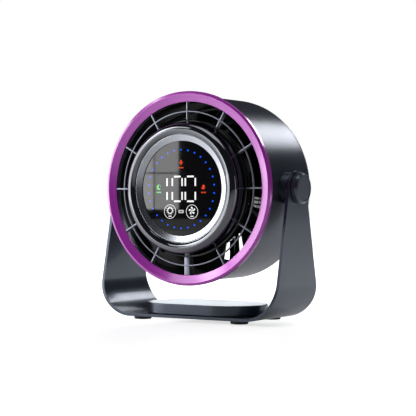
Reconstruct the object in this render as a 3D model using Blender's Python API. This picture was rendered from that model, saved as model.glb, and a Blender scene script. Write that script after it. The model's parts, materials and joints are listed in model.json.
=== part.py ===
"""Desk air-circulator fan with a round touch display, hung in a bent U stand.

Metres, +Z up, the front faces -Y. The origin is the middle of the footprint on the table.
The head and the impeller are modelled about the tilt pivot, and their empties carry them up to it.
"""

from math import asin, cos, hypot, pi, radians, sin, sqrt

import bmesh
import bpy
from mathutils import Matrix

# ---- clearances and mesh resolution
GAP = 0.0003  # between pieces that touch
CUT_OVER = 0.001  # how far a cutting body runs past the faces it cuts
BIG_STEPS, HUB_STEPS, MID_STEPS, SMALL_STEPS, SCREW_STEPS = 48, 32, 24, 14, 8

# ---- barrel and bezel, as radii about the fan axis and distances along it from the tilt pivot
BARREL_RADIUS = 0.0752
BARREL_WALL = 0.0022
BARREL_FRONT = -0.0299
BARREL_ROUND = 0.009
BEZEL_OVERHANG = 0.0032
BEZEL_FACE = 0.0084
BEZEL_PROUD = 0.0031
BEZEL_CHAMFER = 0.002
BEZEL_CHAMFER_FALL = 0.0008
BEZEL_DISH = 0.0019
BEZEL_SKIRT = 0.001

# ---- front grille
SPOKES = 12
SPOKE_WIDTH = 0.0012
DUCT_WIDTH = 0.0048
SPOKE_FRONT = -0.0308
SPOKE_BACK = -0.0264
WIRE_WIDTH = 0.0011
WIRE_DEPTH = 0.0018
RIM_WIDTH = 0.0021
RIM_BACK = -0.0244
SPOKE_BEND = 0.0022
WIRE_PROUD = 0.0002

# ---- display hub
HUB_RADIUS = 0.0542
HUB_WALL = 0.0018
HUB_CREST = -0.0427
HUB_TAPER = 0.0024
NECK_STEP = 0.0013
HOOP_WIDTH = 0.0022
HUB_FLARE = 0.0016
LIP_ROUND = 0.005
LIP_SEAT = 0.0038
RING_WIDTH = 0.0056
DOT_INSET = 0.0067
GLASS_THICKNESS = 0.0018
LIGHT_BOX_DEPTH = 0.004
GROOVE_WIDTH = 0.0024
GROOVE_DEPTH = 0.0025
DIGIT_HALF_HEIGHT = 0.0107
DIGITS = ((-0.0135, 0.0022), (-0.0037, 0.0052), (0.0089, 0.0052))  # centre, half width
KEY_X, KEY_Z, KEY_RADIUS = 0.0106, -0.0181, 0.0048
BOARD_THICKNESS = 0.0014
CELL_RADIUS = 0.0091
CELL_LENGTH = 0.065
CELL_GAP_FRONT = 0.0011
CELL_GAP_BACK = 0.0014
COVER_THICKNESS = 0.0016
HUB_SCREW_INSET = 0.004
HUB_SCREW_HEAD = 0.0023
HUB_SCREW_HEAD_HEIGHT = 0.0013
HUB_SCREW_BORE = 0.0014
HUB_SCREW_BITE = 0.009
HUB_BOSS_RADIUS = 0.0032
HUB_SCREW_ANGLES = [radians(degree) for degree in (60, 120, 240, 300)]

# ---- rear grille and motor pod
REAR_OPENING = BARREL_RADIUS - BARREL_ROUND
REAR_THICKNESS = 0.002
LEDGE_WIDTH = 0.0052
SLOTS = 48
SLOT_BAR = 0.0022
SLOT_MARGIN = 0.0038
POD_RADIUS = 0.0342
POD_WALL = 0.0022
POD_DEPTH = 0.0172
POD_FLOOR = 0.0022
WIRE_HOLE = 0.009
REAR_SCREW_HEAD = 0.0019
REAR_SCREW_BORE = 0.0015
REAR_SCREW_EDGE = 0.0006
REAR_HEAD_DEPTH = 0.0014
REAR_SCREW_ANGLES = [radians(degree) for degree in (45, 135, 225, 315)]
SOCKET_WIDTH = 0.0089
SOCKET_HEIGHT = 0.0032
SOCKET_DROP = 0.018
CABLE_HALF_WIDTH = 0.0013
CABLE_HALF_THICKNESS = 0.00045

# ---- motor and impeller
SHAFT_RADIUS = 0.0022
BEARING_WALL = 0.0024
TUBE_WALL = 0.0028
FLANGE_RADIUS = 0.0205
STATOR_RADIUS = 0.0186
AIR_GAP = 0.0007
MAGNET_THICKNESS = 0.0028
CAN_WALL = 0.0016
CAN_SETBACK = 0.0025
CAN_LENGTH = 0.016
MOTOR_SCREW_RADIUS = 0.015
MOTOR_SCREW_HEAD = 0.0026
MOTOR_SCREW_HEAD_HEIGHT = 0.0013
MOTOR_SCREW_BORE = 0.0016
MOTOR_SCREW_ANGLES = [radians(degree) for degree in (90, 210, 330)]
BLADES = 7
BLADE_TURN = radians(46)
BLADE_PHASE = radians(12)
BLADE_THICKNESS = 0.0015
IMPELLER_RADIUS = 0.036
IMPELLER_LENGTH = 0.028
HUB_TO_IMPELLER = 0.005
IMPELLER_TO_POD = 0.003
TIP_CLEARANCE = 0.004

# ---- stand
STRAP_THICKNESS = 0.0024
STRAP_BEND = 0.030
STRAP_HALF_DEPTH = 0.0334
ARM_TOP_RADIUS = 0.0138
ARM_SHOULDER = 0.017
WEIGHT_LENGTH = 0.106
WEIGHT_DEPTH = 0.062
WEIGHT_HEIGHT = 0.0086
WEIGHT_EDGE = 0.0006
SWING_CLEARANCE = 0.0089
FOOT_RADIUS = 0.0072
FOOT_HEIGHT = 0.002
FOOT_CHAMFER = 0.0006
FOOT_INSET = 0.0086
FOOT_EDGE = 0.0074
BASE_SCREW_X = 0.028
BASE_SCREW_HEAD = 0.004
BASE_SCREW_SHANK = 0.002
BASE_HEAD_HEIGHT = 0.0009
BASE_SCREW_BITE = 0.0052

# ---- tilt pivot
BOSS_RADIUS = 0.0125
BOSS_PROUD = 0.006
WASHER_THICKNESS = 0.0009
WASHER_INSET = 0.0005
BOLT_RADIUS = 0.004
BOLT_HEAD_HEIGHT = 0.001
BOLT_HEAD_WIDER = 0.0032
BOLT_REACH = 0.0012
BUSH_WALL = 0.0017
BUSH_FLANGE = 0.0006
BUSH_FLANGE_WIDER = 0.002
INSERT_WALL = 0.0022
INSERT_SUNK = 0.001
KNOB_RADIUS = 0.0125
KNOB_DEPTH = 0.0054
KNOB_CHAMFER = 0.0012
KNOB_HOLLOW_CLEAR = 0.001
KNOB_RECESS = 0.0009
KNOB_LAND = 0.0025
DISC_SUNK = 0.0002

# ---- sizes that follow from the ones above
BARREL_BORE = BARREL_RADIUS - BARREL_WALL
BEZEL_RADIUS = BARREL_RADIUS + BEZEL_OVERHANG
BEZEL_OPENING = BEZEL_RADIUS - BEZEL_FACE
BEZEL_FRONT = BARREL_FRONT - BEZEL_PROUD
WIRE_RADIUS = (HUB_RADIUS + BEZEL_OPENING) / 2
NECK_RADIUS = HUB_RADIUS - NECK_STEP
LIP_CENTRE = HUB_CREST + LIP_ROUND
LIP_RADIUS = HUB_RADIUS - HUB_FLARE - LIP_ROUND
RING_OUTER = LIP_RADIUS - LIP_SEAT
DISPLAY_RADIUS = RING_OUTER - RING_WIDTH
DOT_RADIUS = DISPLAY_RADIUS - DOT_INSET
GLASS_RADIUS = DISPLAY_RADIUS + 0.0015
GLASS_FRONT = LIP_CENTRE - 0.0006
SHELF_FRONT = GLASS_FRONT + GLASS_THICKNESS + GAP
SHELF_RADIUS = DISPLAY_RADIUS - 0.0008
LIGHT_BOX_FRONT = SHELF_FRONT
BOARD_FRONT = LIGHT_BOX_FRONT + LIGHT_BOX_DEPTH + GAP
CELL_CENTRE = BOARD_FRONT + BOARD_THICKNESS + CELL_GAP_FRONT + CELL_RADIUS
COVER_FRONT = CELL_CENTRE + CELL_RADIUS + CELL_GAP_BACK
HUB_BACK = COVER_FRONT + COVER_THICKNESS
IMPELLER_FRONT = HUB_BACK + HUB_TO_IMPELLER
IMPELLER_BACK = IMPELLER_FRONT + IMPELLER_LENGTH
CAN_FRONT = IMPELLER_FRONT + CAN_SETBACK
POD_FRONT = IMPELLER_BACK + IMPELLER_TO_POD
BARREL_BACK = POD_FRONT + POD_DEPTH
COVER_RADIUS = NECK_RADIUS - HUB_TAPER - HUB_WALL - GAP
HUB_SCREW_RADIUS = COVER_RADIUS - HUB_SCREW_INSET
CONTROL_FRONT = POD_FRONT + POD_FLOOR + 0.0036
CONTROL_BACK = CONTROL_FRONT + BOARD_THICKNESS
LEDGE_BACK = BARREL_BACK - REAR_THICKNESS - 0.0002 - GAP
LEDGE_FRONT = LEDGE_BACK - 0.002
REAR_FRONT = LEDGE_BACK + GAP
REAR_BACK = REAR_FRONT + REAR_THICKNESS
REAR_COUNTERBORE = REAR_SCREW_HEAD + GAP
REAR_SCREW_RADIUS = REAR_OPENING - GAP - REAR_SCREW_EDGE - REAR_COUNTERBORE
SLOT_INNER = POD_RADIUS + SLOT_MARGIN
SLOT_OUTER = REAR_OPENING - LEDGE_WIDTH - 0.0005
BEARING_RADIUS = SHAFT_RADIUS + GAP + BEARING_WALL
TUBE_BORE = BEARING_RADIUS + GAP
TUBE_RADIUS = TUBE_BORE + TUBE_WALL
MAGNET_BORE = STATOR_RADIUS + AIR_GAP
CAN_BORE = MAGNET_BORE + MAGNET_THICKNESS + GAP
CAN_RADIUS = CAN_BORE + CAN_WALL
FLANGE_BACK = POD_FRONT - GAP
FLANGE_FRONT = FLANGE_BACK - 0.0022
BLADE_TIP = BARREL_BORE - TIP_CLEARANCE
WEIGHT_BASE = FOOT_HEIGHT + STRAP_THICKNESS + 2 * GAP
WEIGHT_TOP = WEIGHT_BASE + WEIGHT_HEIGHT
STRAP_BASE = FOOT_HEIGHT + GAP
SWING_FRONT = hypot(BEZEL_RADIUS, BEZEL_FRONT + BEZEL_CHAMFER_FALL)
SWING_BACK = hypot(REAR_OPENING, BARREL_BACK - BARREL_ROUND) + BARREL_ROUND
SWING_RADIUS = max(SWING_FRONT, SWING_BACK)
TILT_HEIGHT = WEIGHT_TOP + SWING_CLEARANCE + SWING_RADIUS
BOSS_FACE = BARREL_RADIUS + BOSS_PROUD
WASHER_FACE = BOSS_FACE + GAP
ARM_INNER = WASHER_FACE + WASHER_THICKNESS + GAP
ARM_OUTER = ARM_INNER + STRAP_THICKNESS
BUSH_BORE = BOLT_RADIUS + GAP
BUSH_RADIUS = BUSH_BORE + BUSH_WALL
INSERT_RADIUS = BOLT_RADIUS + GAP + INSERT_WALL
FLANGE_EDGE = BUSH_RADIUS + BUSH_FLANGE_WIDER
KNOB_FACE = ARM_OUTER + GAP + KNOB_DEPTH
CABLE_Y = SPOKE_BACK - 0.0008
CABLE_RADIUS = BARREL_BORE - 0.002
CABLE_ROUND_ROOM = sqrt(
    (BARREL_ROUND - BARREL_WALL - 2 * GAP) ** 2 - (CABLE_RADIUS + CABLE_HALF_THICKNESS - REAR_OPENING) ** 2
)
CABLE_REAR_LIMIT = min(LEDGE_FRONT, BARREL_BACK - BARREL_ROUND + CABLE_ROUND_ROOM)
CABLE_REAR_Y = CABLE_REAR_LIMIT - GAP - CABLE_HALF_THICKNESS

# Each turned piece is drawn as (radius, distance along its axis) and spun about that axis.
AXES = {"X": (1, 0, 0), "Y": (0, 1, 0), "Z": (0, 0, 1)}


def finish(name, colour, roughness, metallic=0.0):
    """A plain material with the piece's own colour."""
    material = bpy.data.materials.new(name)
    material.use_nodes = True
    shader = material.node_tree.nodes["Principled BSDF"]
    shader.inputs["Base Color"].default_value = (*colour, 1.0)
    shader.inputs["Roughness"].default_value = roughness
    shader.inputs["Metallic"].default_value = metallic
    return material


def place(axis, across, up, along):
    """The point at (across, up) in the plane square to the axis, and along it."""
    return {"X": (along, across, up), "Y": (across, along, up), "Z": (across, up, along)}[axis]


def solid(name, bm, material, parent=None, location=(0, 0, 0)):
    """Makes the mesh a named object with its faces out, smooth where it is round."""
    bmesh.ops.recalc_face_normals(bm, faces=bm.faces)
    mesh = bpy.data.meshes.new(name)
    bm.to_mesh(mesh)
    bm.free()
    mesh.shade_smooth()
    mesh.set_sharp_from_angle(angle=radians(32))
    obj = bpy.data.objects.new(name, mesh)
    bpy.context.scene.collection.objects.link(obj)
    obj.parent = parent
    obj.location = location
    if material:
        mesh.materials.append(material)
    return obj


def turn_into(bm, profile, axis, steps, across=0.0, up=0.0):
    """Spins a profile about an axis through (across, up). A profile off the axis is a closed loop."""
    verts = [bm.verts.new(place(axis, across + radius, up, along)) for radius, along in profile]
    pairs = list(zip(verts, verts[1:]))
    if profile[0][0] > 0:
        pairs.append((verts[-1], verts[0]))
    edges = [bm.edges.new(pair) for pair in pairs]
    centre = place(axis, across, up, 0)
    bmesh.ops.spin(bm, geom=verts + edges, cent=centre, axis=AXES[axis], angle=2 * pi, steps=steps)
    bmesh.ops.remove_doubles(bm, verts=bm.verts, dist=1e-6)


def turned(profile, axis="Y", steps=BIG_STEPS, across=0.0, up=0.0):
    bm = bmesh.new()
    turn_into(bm, profile, axis, steps, across, up)
    return bm


def add_into(bm, other):
    """Adds another body's faces to this one."""
    carrier = bpy.data.meshes.new("carrier")
    other.to_mesh(carrier)
    other.free()
    bm.from_mesh(carrier)
    bpy.data.meshes.remove(carrier)


def rod(radius, start, end):
    """The profile of a plain pin from start to end."""
    return [(0, start), (radius, start), (radius, end), (0, end)]


def tube(inner, outer, start, end):
    """The profile of a plain ring from start to end."""
    return [(inner, start), (outer, start), (outer, end), (inner, end)]


def extrude_into(bm, outline, axis, start, end):
    """A prism with this outline in the plane square to the axis."""
    face = bm.faces.new([bm.verts.new(place(axis, a, b, start)) for a, b in outline])
    copy = bmesh.ops.extrude_face_region(bm, geom=[face])["geom"]
    moved = [v for v in copy if isinstance(v, bmesh.types.BMVert)]
    bmesh.ops.translate(bm, verts=moved, vec=place(axis, 0, 0, end - start))


def prism(outline, axis, start, end):
    bm = bmesh.new()
    extrude_into(bm, outline, axis, start, end)
    return bm


def rectangle(left, right, low, high):
    return [(left, low), (right, low), (right, high), (left, high)]


def arc(centre, radius, start, end, steps):
    """Points on an arc, from one angle to another."""
    span = [start + (end - start) * i / steps for i in range(steps + 1)]
    return [(centre[0] + radius * cos(a), centre[1] + radius * sin(a)) for a in span]


def stadium(length, depth, steps):
    """An outline with straight sides and half-round ends."""
    middle = (length - depth) / 2
    right = arc((middle, 0), depth / 2, -pi / 2, pi / 2, steps)
    left = arc((-middle, 0), depth / 2, pi / 2, 3 * pi / 2, steps)
    return right + left


def helper(name, bm, like):
    """A hidden body that cuts into, or joins onto, the piece it is made for."""
    obj = solid(f"{name}_tool", bm, None, like.parent, like.location)
    obj.hide_render = True
    obj.display_type = "WIRE"
    return obj


def combine(obj, bm, operation, step):
    modifier = obj.modifiers.new(step, "BOOLEAN")
    modifier.operation = operation
    modifier.solver = "EXACT"
    modifier.object = helper(f"{obj.name}_{step}", bm, obj)


def cut(obj, bm, step):
    combine(obj, bm, "DIFFERENCE", step)


def join(obj, bm, step):
    combine(obj, bm, "UNION", step)


def round_edges(obj, width, segments, angle):
    """Rounds the edges sharper than the angle."""
    modifier = obj.modifiers.new("rounded", "BEVEL")
    modifier.width = width
    modifier.segments = segments
    modifier.limit_method = "ANGLE"
    modifier.angle_limit = angle


def around(count, start=0.0):
    """Angles spread evenly about a centre, 0 at +X and a quarter turn at +Z."""
    return [start + 2 * pi * i / count for i in range(count)]


def pattern(profile, angles, radius, steps=SCREW_STEPS):
    """The same turned body repeated at these angles about the fan axis."""
    bm = bmesh.new()
    for angle in angles:
        turn_into(bm, profile, "Y", steps, radius * cos(angle), radius * sin(angle))
    return bm


# ---- stand


def stand_bracket(material):
    """One bent strap: a U seen from the front, tapering up to round arm tops seen from the side."""
    turn = pi / 2
    top = TILT_HEIGHT + 2 * ARM_TOP_RADIUS
    outside, inside = [], []
    for side in (-1, 1):
        centre = (side * (ARM_OUTER - STRAP_BEND), STRAP_BASE + STRAP_BEND)
        start, end = (pi, pi + turn) if side < 0 else (-turn, 0)
        outside += arc(centre, STRAP_BEND, start, end, 8)
        inside += arc(centre, STRAP_BEND - STRAP_THICKNESS, start, end, 8)
    outside = [(-ARM_OUTER, top), *outside, (ARM_OUTER, top)]
    inside = [(-ARM_INNER, top), *inside, (ARM_INNER, top)]
    profile = outside + inside[::-1]
    depth = 2 * STRAP_HALF_DEPTH
    bracket = solid("stand_bracket", prism(profile, "Y", -depth, depth), material)

    shoulder = STRAP_BASE + ARM_SHOULDER
    run = TILT_HEIGHT - shoulder
    lean = asin((STRAP_HALF_DEPTH - ARM_TOP_RADIUS) / run)
    low = STRAP_BASE - STRAP_THICKNESS
    side_view = [(STRAP_HALF_DEPTH, low), (STRAP_HALF_DEPTH, shoulder)]
    side_view += arc((0, TILT_HEIGHT), ARM_TOP_RADIUS, lean, pi - lean, 12)
    side_view += [(-STRAP_HALF_DEPTH, shoulder), (-STRAP_HALF_DEPTH, low)]
    wide = 2 * ARM_OUTER
    combine(bracket, prism(side_view, "X", -wide, wide), "INTERSECT", "side_view")

    pivot_hole = rod(BUSH_RADIUS + GAP, -wide, wide)
    cut(bracket, turned(pivot_hole, "X", 16, up=TILT_HEIGHT), "pivot_hole")
    holes = bmesh.new()
    head_bore, shank_bore = BASE_SCREW_HEAD + GAP, BASE_SCREW_SHANK + GAP
    seat = STRAP_BASE + BASE_HEAD_HEIGHT + GAP
    for x in (-BASE_SCREW_X, BASE_SCREW_X):
        stepped = [
            (0, 0),
            (head_bore, 0),
            (head_bore, seat),
            (shank_bore, seat),
            (shank_bore, WEIGHT_BASE),
            (0, WEIGHT_BASE),
        ]
        turn_into(holes, stepped, "Z", SMALL_STEPS, across=x)
    cut(bracket, holes, "base_holes")


def base_weight(material):
    """The steel slab with half-round ends that keeps the stand down."""
    outline = stadium(WEIGHT_LENGTH, WEIGHT_DEPTH, 12)
    weight = solid("base_weight", prism(outline, "Z", WEIGHT_BASE, WEIGHT_TOP), material)
    round_edges(weight, WEIGHT_EDGE, 2, radians(60))
    holes = bmesh.new()
    bore = rod(BASE_SCREW_SHANK + GAP, 0, WEIGHT_BASE + BASE_SCREW_BITE + GAP)
    for x in (-BASE_SCREW_X, BASE_SCREW_X):
        turn_into(holes, bore, "Z", SMALL_STEPS, across=x)
    cut(weight, holes, "screw_holes")


def base_screws(material):
    head, tip = STRAP_BASE + BASE_HEAD_HEIGHT, WEIGHT_BASE + BASE_SCREW_BITE
    for side, x in (("left", -BASE_SCREW_X), ("right", BASE_SCREW_X)):
        profile = [
            (0, STRAP_BASE),
            (BASE_SCREW_HEAD, STRAP_BASE),
            (BASE_SCREW_HEAD, head),
            (BASE_SCREW_SHANK, head),
            (BASE_SCREW_SHANK, tip),
            (0, tip),
        ]
        solid(f"base_screw_{side}", turned(profile, "Z", SMALL_STEPS), material, location=(x, 0, 0))


def feet(material):
    """Four stuck-on rubber discs with a chamfered foot edge."""
    chamfer = FOOT_CHAMFER
    profile = [
        (0, 0),
        (FOOT_RADIUS - chamfer, 0),
        (FOOT_RADIUS, chamfer),
        (FOOT_RADIUS, FOOT_HEIGHT),
        (0, FOOT_HEIGHT),
    ]
    x = ARM_OUTER - STRAP_BEND - FOOT_INSET
    y = STRAP_HALF_DEPTH - FOOT_EDGE
    for row, foot_y in (("front", -y), ("rear", y)):
        for side, foot_x in (("left", -x), ("right", x)):
            bm = turned(profile, "Z", 16)
            solid(f"foot_{row}_{side}", bm, material, location=(foot_x, foot_y, 0))


# ---- tilt pivot


def pivot_pieces(sign, side, nylon, rubber, steel, brass, dark, disc, head):
    """The bush and washer of one arm, and the bolt, threaded insert and knob that turn with the head."""
    height = (0, 0, TILT_HEIGHT)

    def both(profile):
        return [(radius, sign * along) for radius, along in profile]

    outside = ARM_OUTER + GAP
    flange = outside + BUSH_FLANGE
    bush = [
        (BUSH_BORE, ARM_INNER),
        (BUSH_RADIUS, ARM_INNER),
        (BUSH_RADIUS, outside),
        (FLANGE_EDGE, outside),
        (FLANGE_EDGE, flange),
        (BUSH_BORE, flange),
    ]
    solid(f"pivot_bush_{side}", turned(both(bush), "X", 16), nylon, location=height)
    washer = tube(BUSH_BORE, BOSS_RADIUS - WASHER_INSET, WASHER_FACE, WASHER_FACE + WASHER_THICKNESS)
    solid(f"friction_washer_{side}", turned(both(washer), "X", 16), rubber, location=height)

    seat, bolt_tip = flange + GAP, BARREL_BORE - BOLT_REACH
    bolt_top, bolt_edge = seat + BOLT_HEAD_HEIGHT, BOLT_RADIUS + BOLT_HEAD_WIDER
    bolt = [
        (0, bolt_tip),
        (BOLT_RADIUS, bolt_tip),
        (BOLT_RADIUS, seat),
        (bolt_edge, seat),
        (bolt_edge, bolt_top),
        (0, bolt_top),
    ]
    solid(f"pivot_bolt_{side}", turned(both(bolt), "X", 16), steel, head)
    insert = tube(BOLT_RADIUS + GAP, INSERT_RADIUS, BARREL_BORE, BOSS_FACE - INSERT_SUNK)
    solid(f"pivot_insert_{side}", turned(both(insert), "X", 16), brass, head)

    roof, hollow = bolt_top + GAP, max(FLANGE_EDGE, bolt_edge) + KNOB_HOLLOW_CLEAR
    recess = KNOB_FACE - KNOB_RECESS
    inlay = KNOB_RADIUS - KNOB_LAND
    knob = [
        (0, roof),
        (hollow, roof),
        (hollow, outside),
        (KNOB_RADIUS, outside),
        (KNOB_RADIUS, KNOB_FACE - KNOB_CHAMFER),
        (KNOB_RADIUS - KNOB_CHAMFER, KNOB_FACE),
        (inlay + GAP, KNOB_FACE),
        (inlay + GAP, recess),
        (0, recess),
    ]
    solid(f"knob_{side}", turned(both(knob), "X", MID_STEPS), dark, head)
    plate = rod(inlay, recess + GAP, KNOB_FACE - DISC_SUNK)
    solid(f"knob_disc_{side}", turned(both(plate), "X", MID_STEPS), disc, head)


# ---- head housing


def front_bezel(material, head):
    profile = [
        (BEZEL_OPENING, BEZEL_FRONT + BEZEL_DISH),
        (BEZEL_RADIUS - BEZEL_CHAMFER, BEZEL_FRONT),
        (BEZEL_RADIUS, BEZEL_FRONT + BEZEL_CHAMFER_FALL),
        (BEZEL_RADIUS, BARREL_FRONT + BEZEL_SKIRT),
        (BARREL_RADIUS + GAP, BARREL_FRONT + BEZEL_SKIRT),
        (BARREL_RADIUS + GAP, BARREL_FRONT - GAP),
        (BEZEL_OPENING, BARREL_FRONT - GAP),
    ]
    solid("front_bezel", turned(profile), material, head)


def spoke_outline(back):
    """One spoke seen from the side as (radius, y), curving back into the hoop around the hub."""
    root = NECK_RADIUS + GAP + HOOP_WIDTH / 2
    bend = SPOKE_BEND
    tip = BEZEL_OPENING - GAP
    rim = BARREL_BORE - GAP - RIM_WIDTH / 2
    curve = arc((root + bend, SPOKE_FRONT + bend), bend, pi, 3 * pi / 2, 4)
    return [(root, back), *curve, (tip, SPOKE_FRONT), (tip, BARREL_FRONT), (rim, BARREL_FRONT), (rim, back)]


def pod_cable_way():
    """The way that the ribbon cable takes through the wall of the pod, as a cutting body."""
    half, clear = CABLE_HALF_WIDTH + GAP, CABLE_HALF_THICKNESS + GAP
    opening = rectangle(-half, half, -(POD_RADIUS + 0.001), -(POD_RADIUS - POD_WALL - 0.006))
    return prism(opening, "Y", CABLE_REAR_Y - clear, CABLE_REAR_Y + clear)


def cable_notch():
    """The way the ribbon cable takes out of the hub and through the duct, as a cutting body."""
    half, clear = CABLE_HALF_WIDTH + GAP, CABLE_HALF_THICKNESS + GAP
    low = -(CABLE_RADIUS + clear)
    return prism(rectangle(-half, half, low, -(NECK_RADIUS - 0.006)), "Y", CABLE_Y - clear, 0.0)


def front_grille(material, head):
    """Rim, wire ring and hub hoop joined by twelve spokes; the lowest spoke is the cable duct."""
    rim = tube(BARREL_BORE - GAP - RIM_WIDTH, BARREL_BORE - GAP, BARREL_FRONT, RIM_BACK)
    grille = solid("front_grille", turned(rim), material, head)
    spokes = bmesh.new()
    for angle in around(SPOKES, pi / 2):
        is_duct = abs(sin(angle) + 1) < 1e-6
        half = (DUCT_WIDTH if is_duct else SPOKE_WIDTH) / 2
        outline = spoke_outline(RIM_BACK + 0.0004 if is_duct else SPOKE_BACK)
        one = prism([(y, radius) for radius, y in outline], "X", -half, half)
        turn = Matrix.Rotation(pi / 2 - angle, 3, "Y")
        bmesh.ops.rotate(one, verts=one.verts, cent=(0, 0, 0), matrix=turn)
        add_into(spokes, one)
    join(grille, spokes, "spokes")
    hoop_front = SPOKE_FRONT + 0.0012
    hoop = tube(NECK_RADIUS + GAP, NECK_RADIUS + GAP + HOOP_WIDTH, hoop_front, RIM_BACK)
    join(grille, turned(hoop, steps=HUB_STEPS), "hoop")
    half_wire = WIRE_WIDTH / 2
    wire_front = SPOKE_FRONT - WIRE_PROUD
    wire = tube(WIRE_RADIUS - half_wire, WIRE_RADIUS + half_wire, wire_front, wire_front + WIRE_DEPTH)
    join(grille, turned(wire), "wire")
    cut(grille, cable_notch(), "cable_duct")


def barrel_housing(material, head):
    """The round shell, with a ledge for the rear grille and a boss on each side for the tilt bolts."""
    centre = (REAR_OPENING, BARREL_BACK - BARREL_ROUND)
    inner_round = BARREL_ROUND - BARREL_WALL
    ledge_angle = asin((LEDGE_FRONT - centre[1]) / inner_round)
    profile = [(BARREL_BORE, BARREL_FRONT), (BARREL_RADIUS, BARREL_FRONT)]
    profile += arc(centre, BARREL_ROUND, 0, pi / 2, 7)
    profile += [
        (REAR_OPENING, LEDGE_BACK),
        (REAR_OPENING - LEDGE_WIDTH, LEDGE_BACK),
        (REAR_OPENING - LEDGE_WIDTH, LEDGE_FRONT),
    ]
    profile += arc(centre, inner_round, ledge_angle, 0, 4)
    barrel = solid("barrel_housing", turned(profile), material, head)
    bosses, bores = bmesh.new(), bmesh.new()
    inside = BARREL_BORE - 0.0015
    for sign in (-1, 1):
        turn_into(bosses, rod(BOSS_RADIUS, sign * inside, sign * BOSS_FACE), "X", 20)
        reach = sign * (inside - 0.005), sign * (BOSS_FACE + 0.005)
        turn_into(bores, rod(INSERT_RADIUS + GAP, *reach), "X", 16)
    join(barrel, bosses, "bosses")
    cut(barrel, bores, "bolt_bores")
    drill = rod(REAR_SCREW_BORE, LEDGE_FRONT - CUT_OVER, LEDGE_BACK + CUT_OVER)
    cut(barrel, pattern(drill, REAR_SCREW_ANGLES, REAR_SCREW_RADIUS), "screw_holes")


def rear_grille(material, head):
    """A slotted disc whose middle is a pod that carries the motor in front and the board behind."""
    floor = POD_FRONT + POD_FLOOR
    profile = [
        (REAR_OPENING - GAP, REAR_FRONT),
        (REAR_OPENING - GAP, REAR_BACK),
        (POD_RADIUS - POD_WALL, REAR_BACK),
        (POD_RADIUS - POD_WALL, floor),
        (WIRE_HOLE, floor),
        (WIRE_HOLE, POD_FRONT),
        (POD_RADIUS, POD_FRONT),
        (POD_RADIUS, REAR_FRONT),
    ]
    grille = solid("rear_grille", turned(profile, steps=SLOTS), material, head)
    rib = rectangle(-DUCT_WIDTH / 2, DUCT_WIDTH / 2, -SLOT_OUTER, -(POD_RADIUS - POD_WALL / 2))
    rib_front = CABLE_REAR_Y + CABLE_HALF_THICKNESS + 1.4 * GAP
    join(grille, prism(rib, "Y", rib_front, REAR_FRONT + 0.0005), "cable_rib")
    slots = bmesh.new()
    for angle in around(SLOTS):
        if abs(sin(angle) + 1) < 1e-6:
            continue
        corners = []
        for radius, hand in ((SLOT_INNER, -1), (SLOT_OUTER, -1), (SLOT_OUTER, 1), (SLOT_INNER, 1)):
            edge = angle + hand * (pi / SLOTS - asin(SLOT_BAR / 2 / radius))
            corners.append((radius * cos(edge), radius * sin(edge)))
        extrude_into(slots, corners, "Y", REAR_FRONT - 0.001, REAR_BACK + 0.001)
    cut(grille, slots, "slots")
    low, seat, high = REAR_FRONT - CUT_OVER, REAR_BACK - REAR_HEAD_DEPTH, REAR_BACK + CUT_OVER
    drill = [(0, low), (REAR_SCREW_BORE, low), (REAR_SCREW_BORE, seat)]
    drill += [(REAR_COUNTERBORE, seat), (REAR_COUNTERBORE, high), (0, high)]
    cut(grille, pattern(drill, REAR_SCREW_ANGLES, REAR_SCREW_RADIUS), "rear_screw_holes")
    drill = rod(MOTOR_SCREW_BORE, POD_FRONT - CUT_OVER, floor + CUT_OVER)
    cut(grille, pattern(drill, MOTOR_SCREW_ANGLES, MOTOR_SCREW_RADIUS), "motor_screw_holes")
    cut(grille, pod_cable_way(), "cable_hole")


def rear_cap(material, head):
    """The snap-in lid of the pod, with the slot for the charging socket."""
    radius = POD_RADIUS - POD_WALL - GAP
    face = REAR_BACK - 0.0015
    profile = [(0, face), (radius - 0.0015, face), (radius - 0.0015, face - 0.004)]
    profile += [(radius, face - 0.004), (radius, REAR_BACK), (0, REAR_BACK)]
    cap = solid("rear_cap", turned(profile, steps=MID_STEPS), material, head)
    slot = [(a, b - SOCKET_DROP) for a, b in stadium(SOCKET_WIDTH + 2 * GAP, SOCKET_HEIGHT + 2 * GAP, 5)]
    cut(cap, prism(slot, "Y", face - 0.002, REAR_BACK + 0.002), "socket_slot")
    cut(cap, pod_cable_way(), "cable_hole")


def charge_socket(material, head):
    start, end = CONTROL_BACK + GAP, REAR_BACK - 0.0003
    shell = [(a, b - SOCKET_DROP) for a, b in stadium(SOCKET_WIDTH, SOCKET_HEIGHT, 5)]
    socket = solid("charge_socket", prism(shell, "Y", start, end), material, head)
    hollow = [(a, b - SOCKET_DROP) for a, b in stadium(SOCKET_WIDTH - 0.0007, SOCKET_HEIGHT - 0.0007, 5)]
    cut(socket, prism(hollow, "Y", end - 0.006, end + 0.001), "mouth")
    tongue = rectangle(-0.0033, 0.0033, -SOCKET_DROP - 0.00035, -SOCKET_DROP + 0.00035)
    join(socket, prism(tongue, "Y", end - 0.0065, end - 0.001), "tongue")


def control_board(material, head):
    """The charger and motor driver board inside the pod, cut away where the cable comes in."""
    radius = POD_RADIUS - POD_WALL - 0.0012
    disc = rod(radius, CONTROL_FRONT, CONTROL_BACK)
    board = solid("control_board", turned(disc, steps=20), material, head)
    notch = rectangle(-0.004, 0.004, -2 * radius, -(radius - 0.005))
    cut(board, prism(notch, "Y", CONTROL_FRONT - 0.001, CONTROL_BACK + 0.001), "notch")


def screw_profile(head_radius, shank_radius, seat, head_top, tip):
    """A pan-head screw along its axis; the tip may lie either way."""
    shank = [(0, tip), (shank_radius, tip), (shank_radius, seat)]
    return [*shank, (head_radius, seat), (head_radius, head_top), (0, head_top)]


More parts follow.
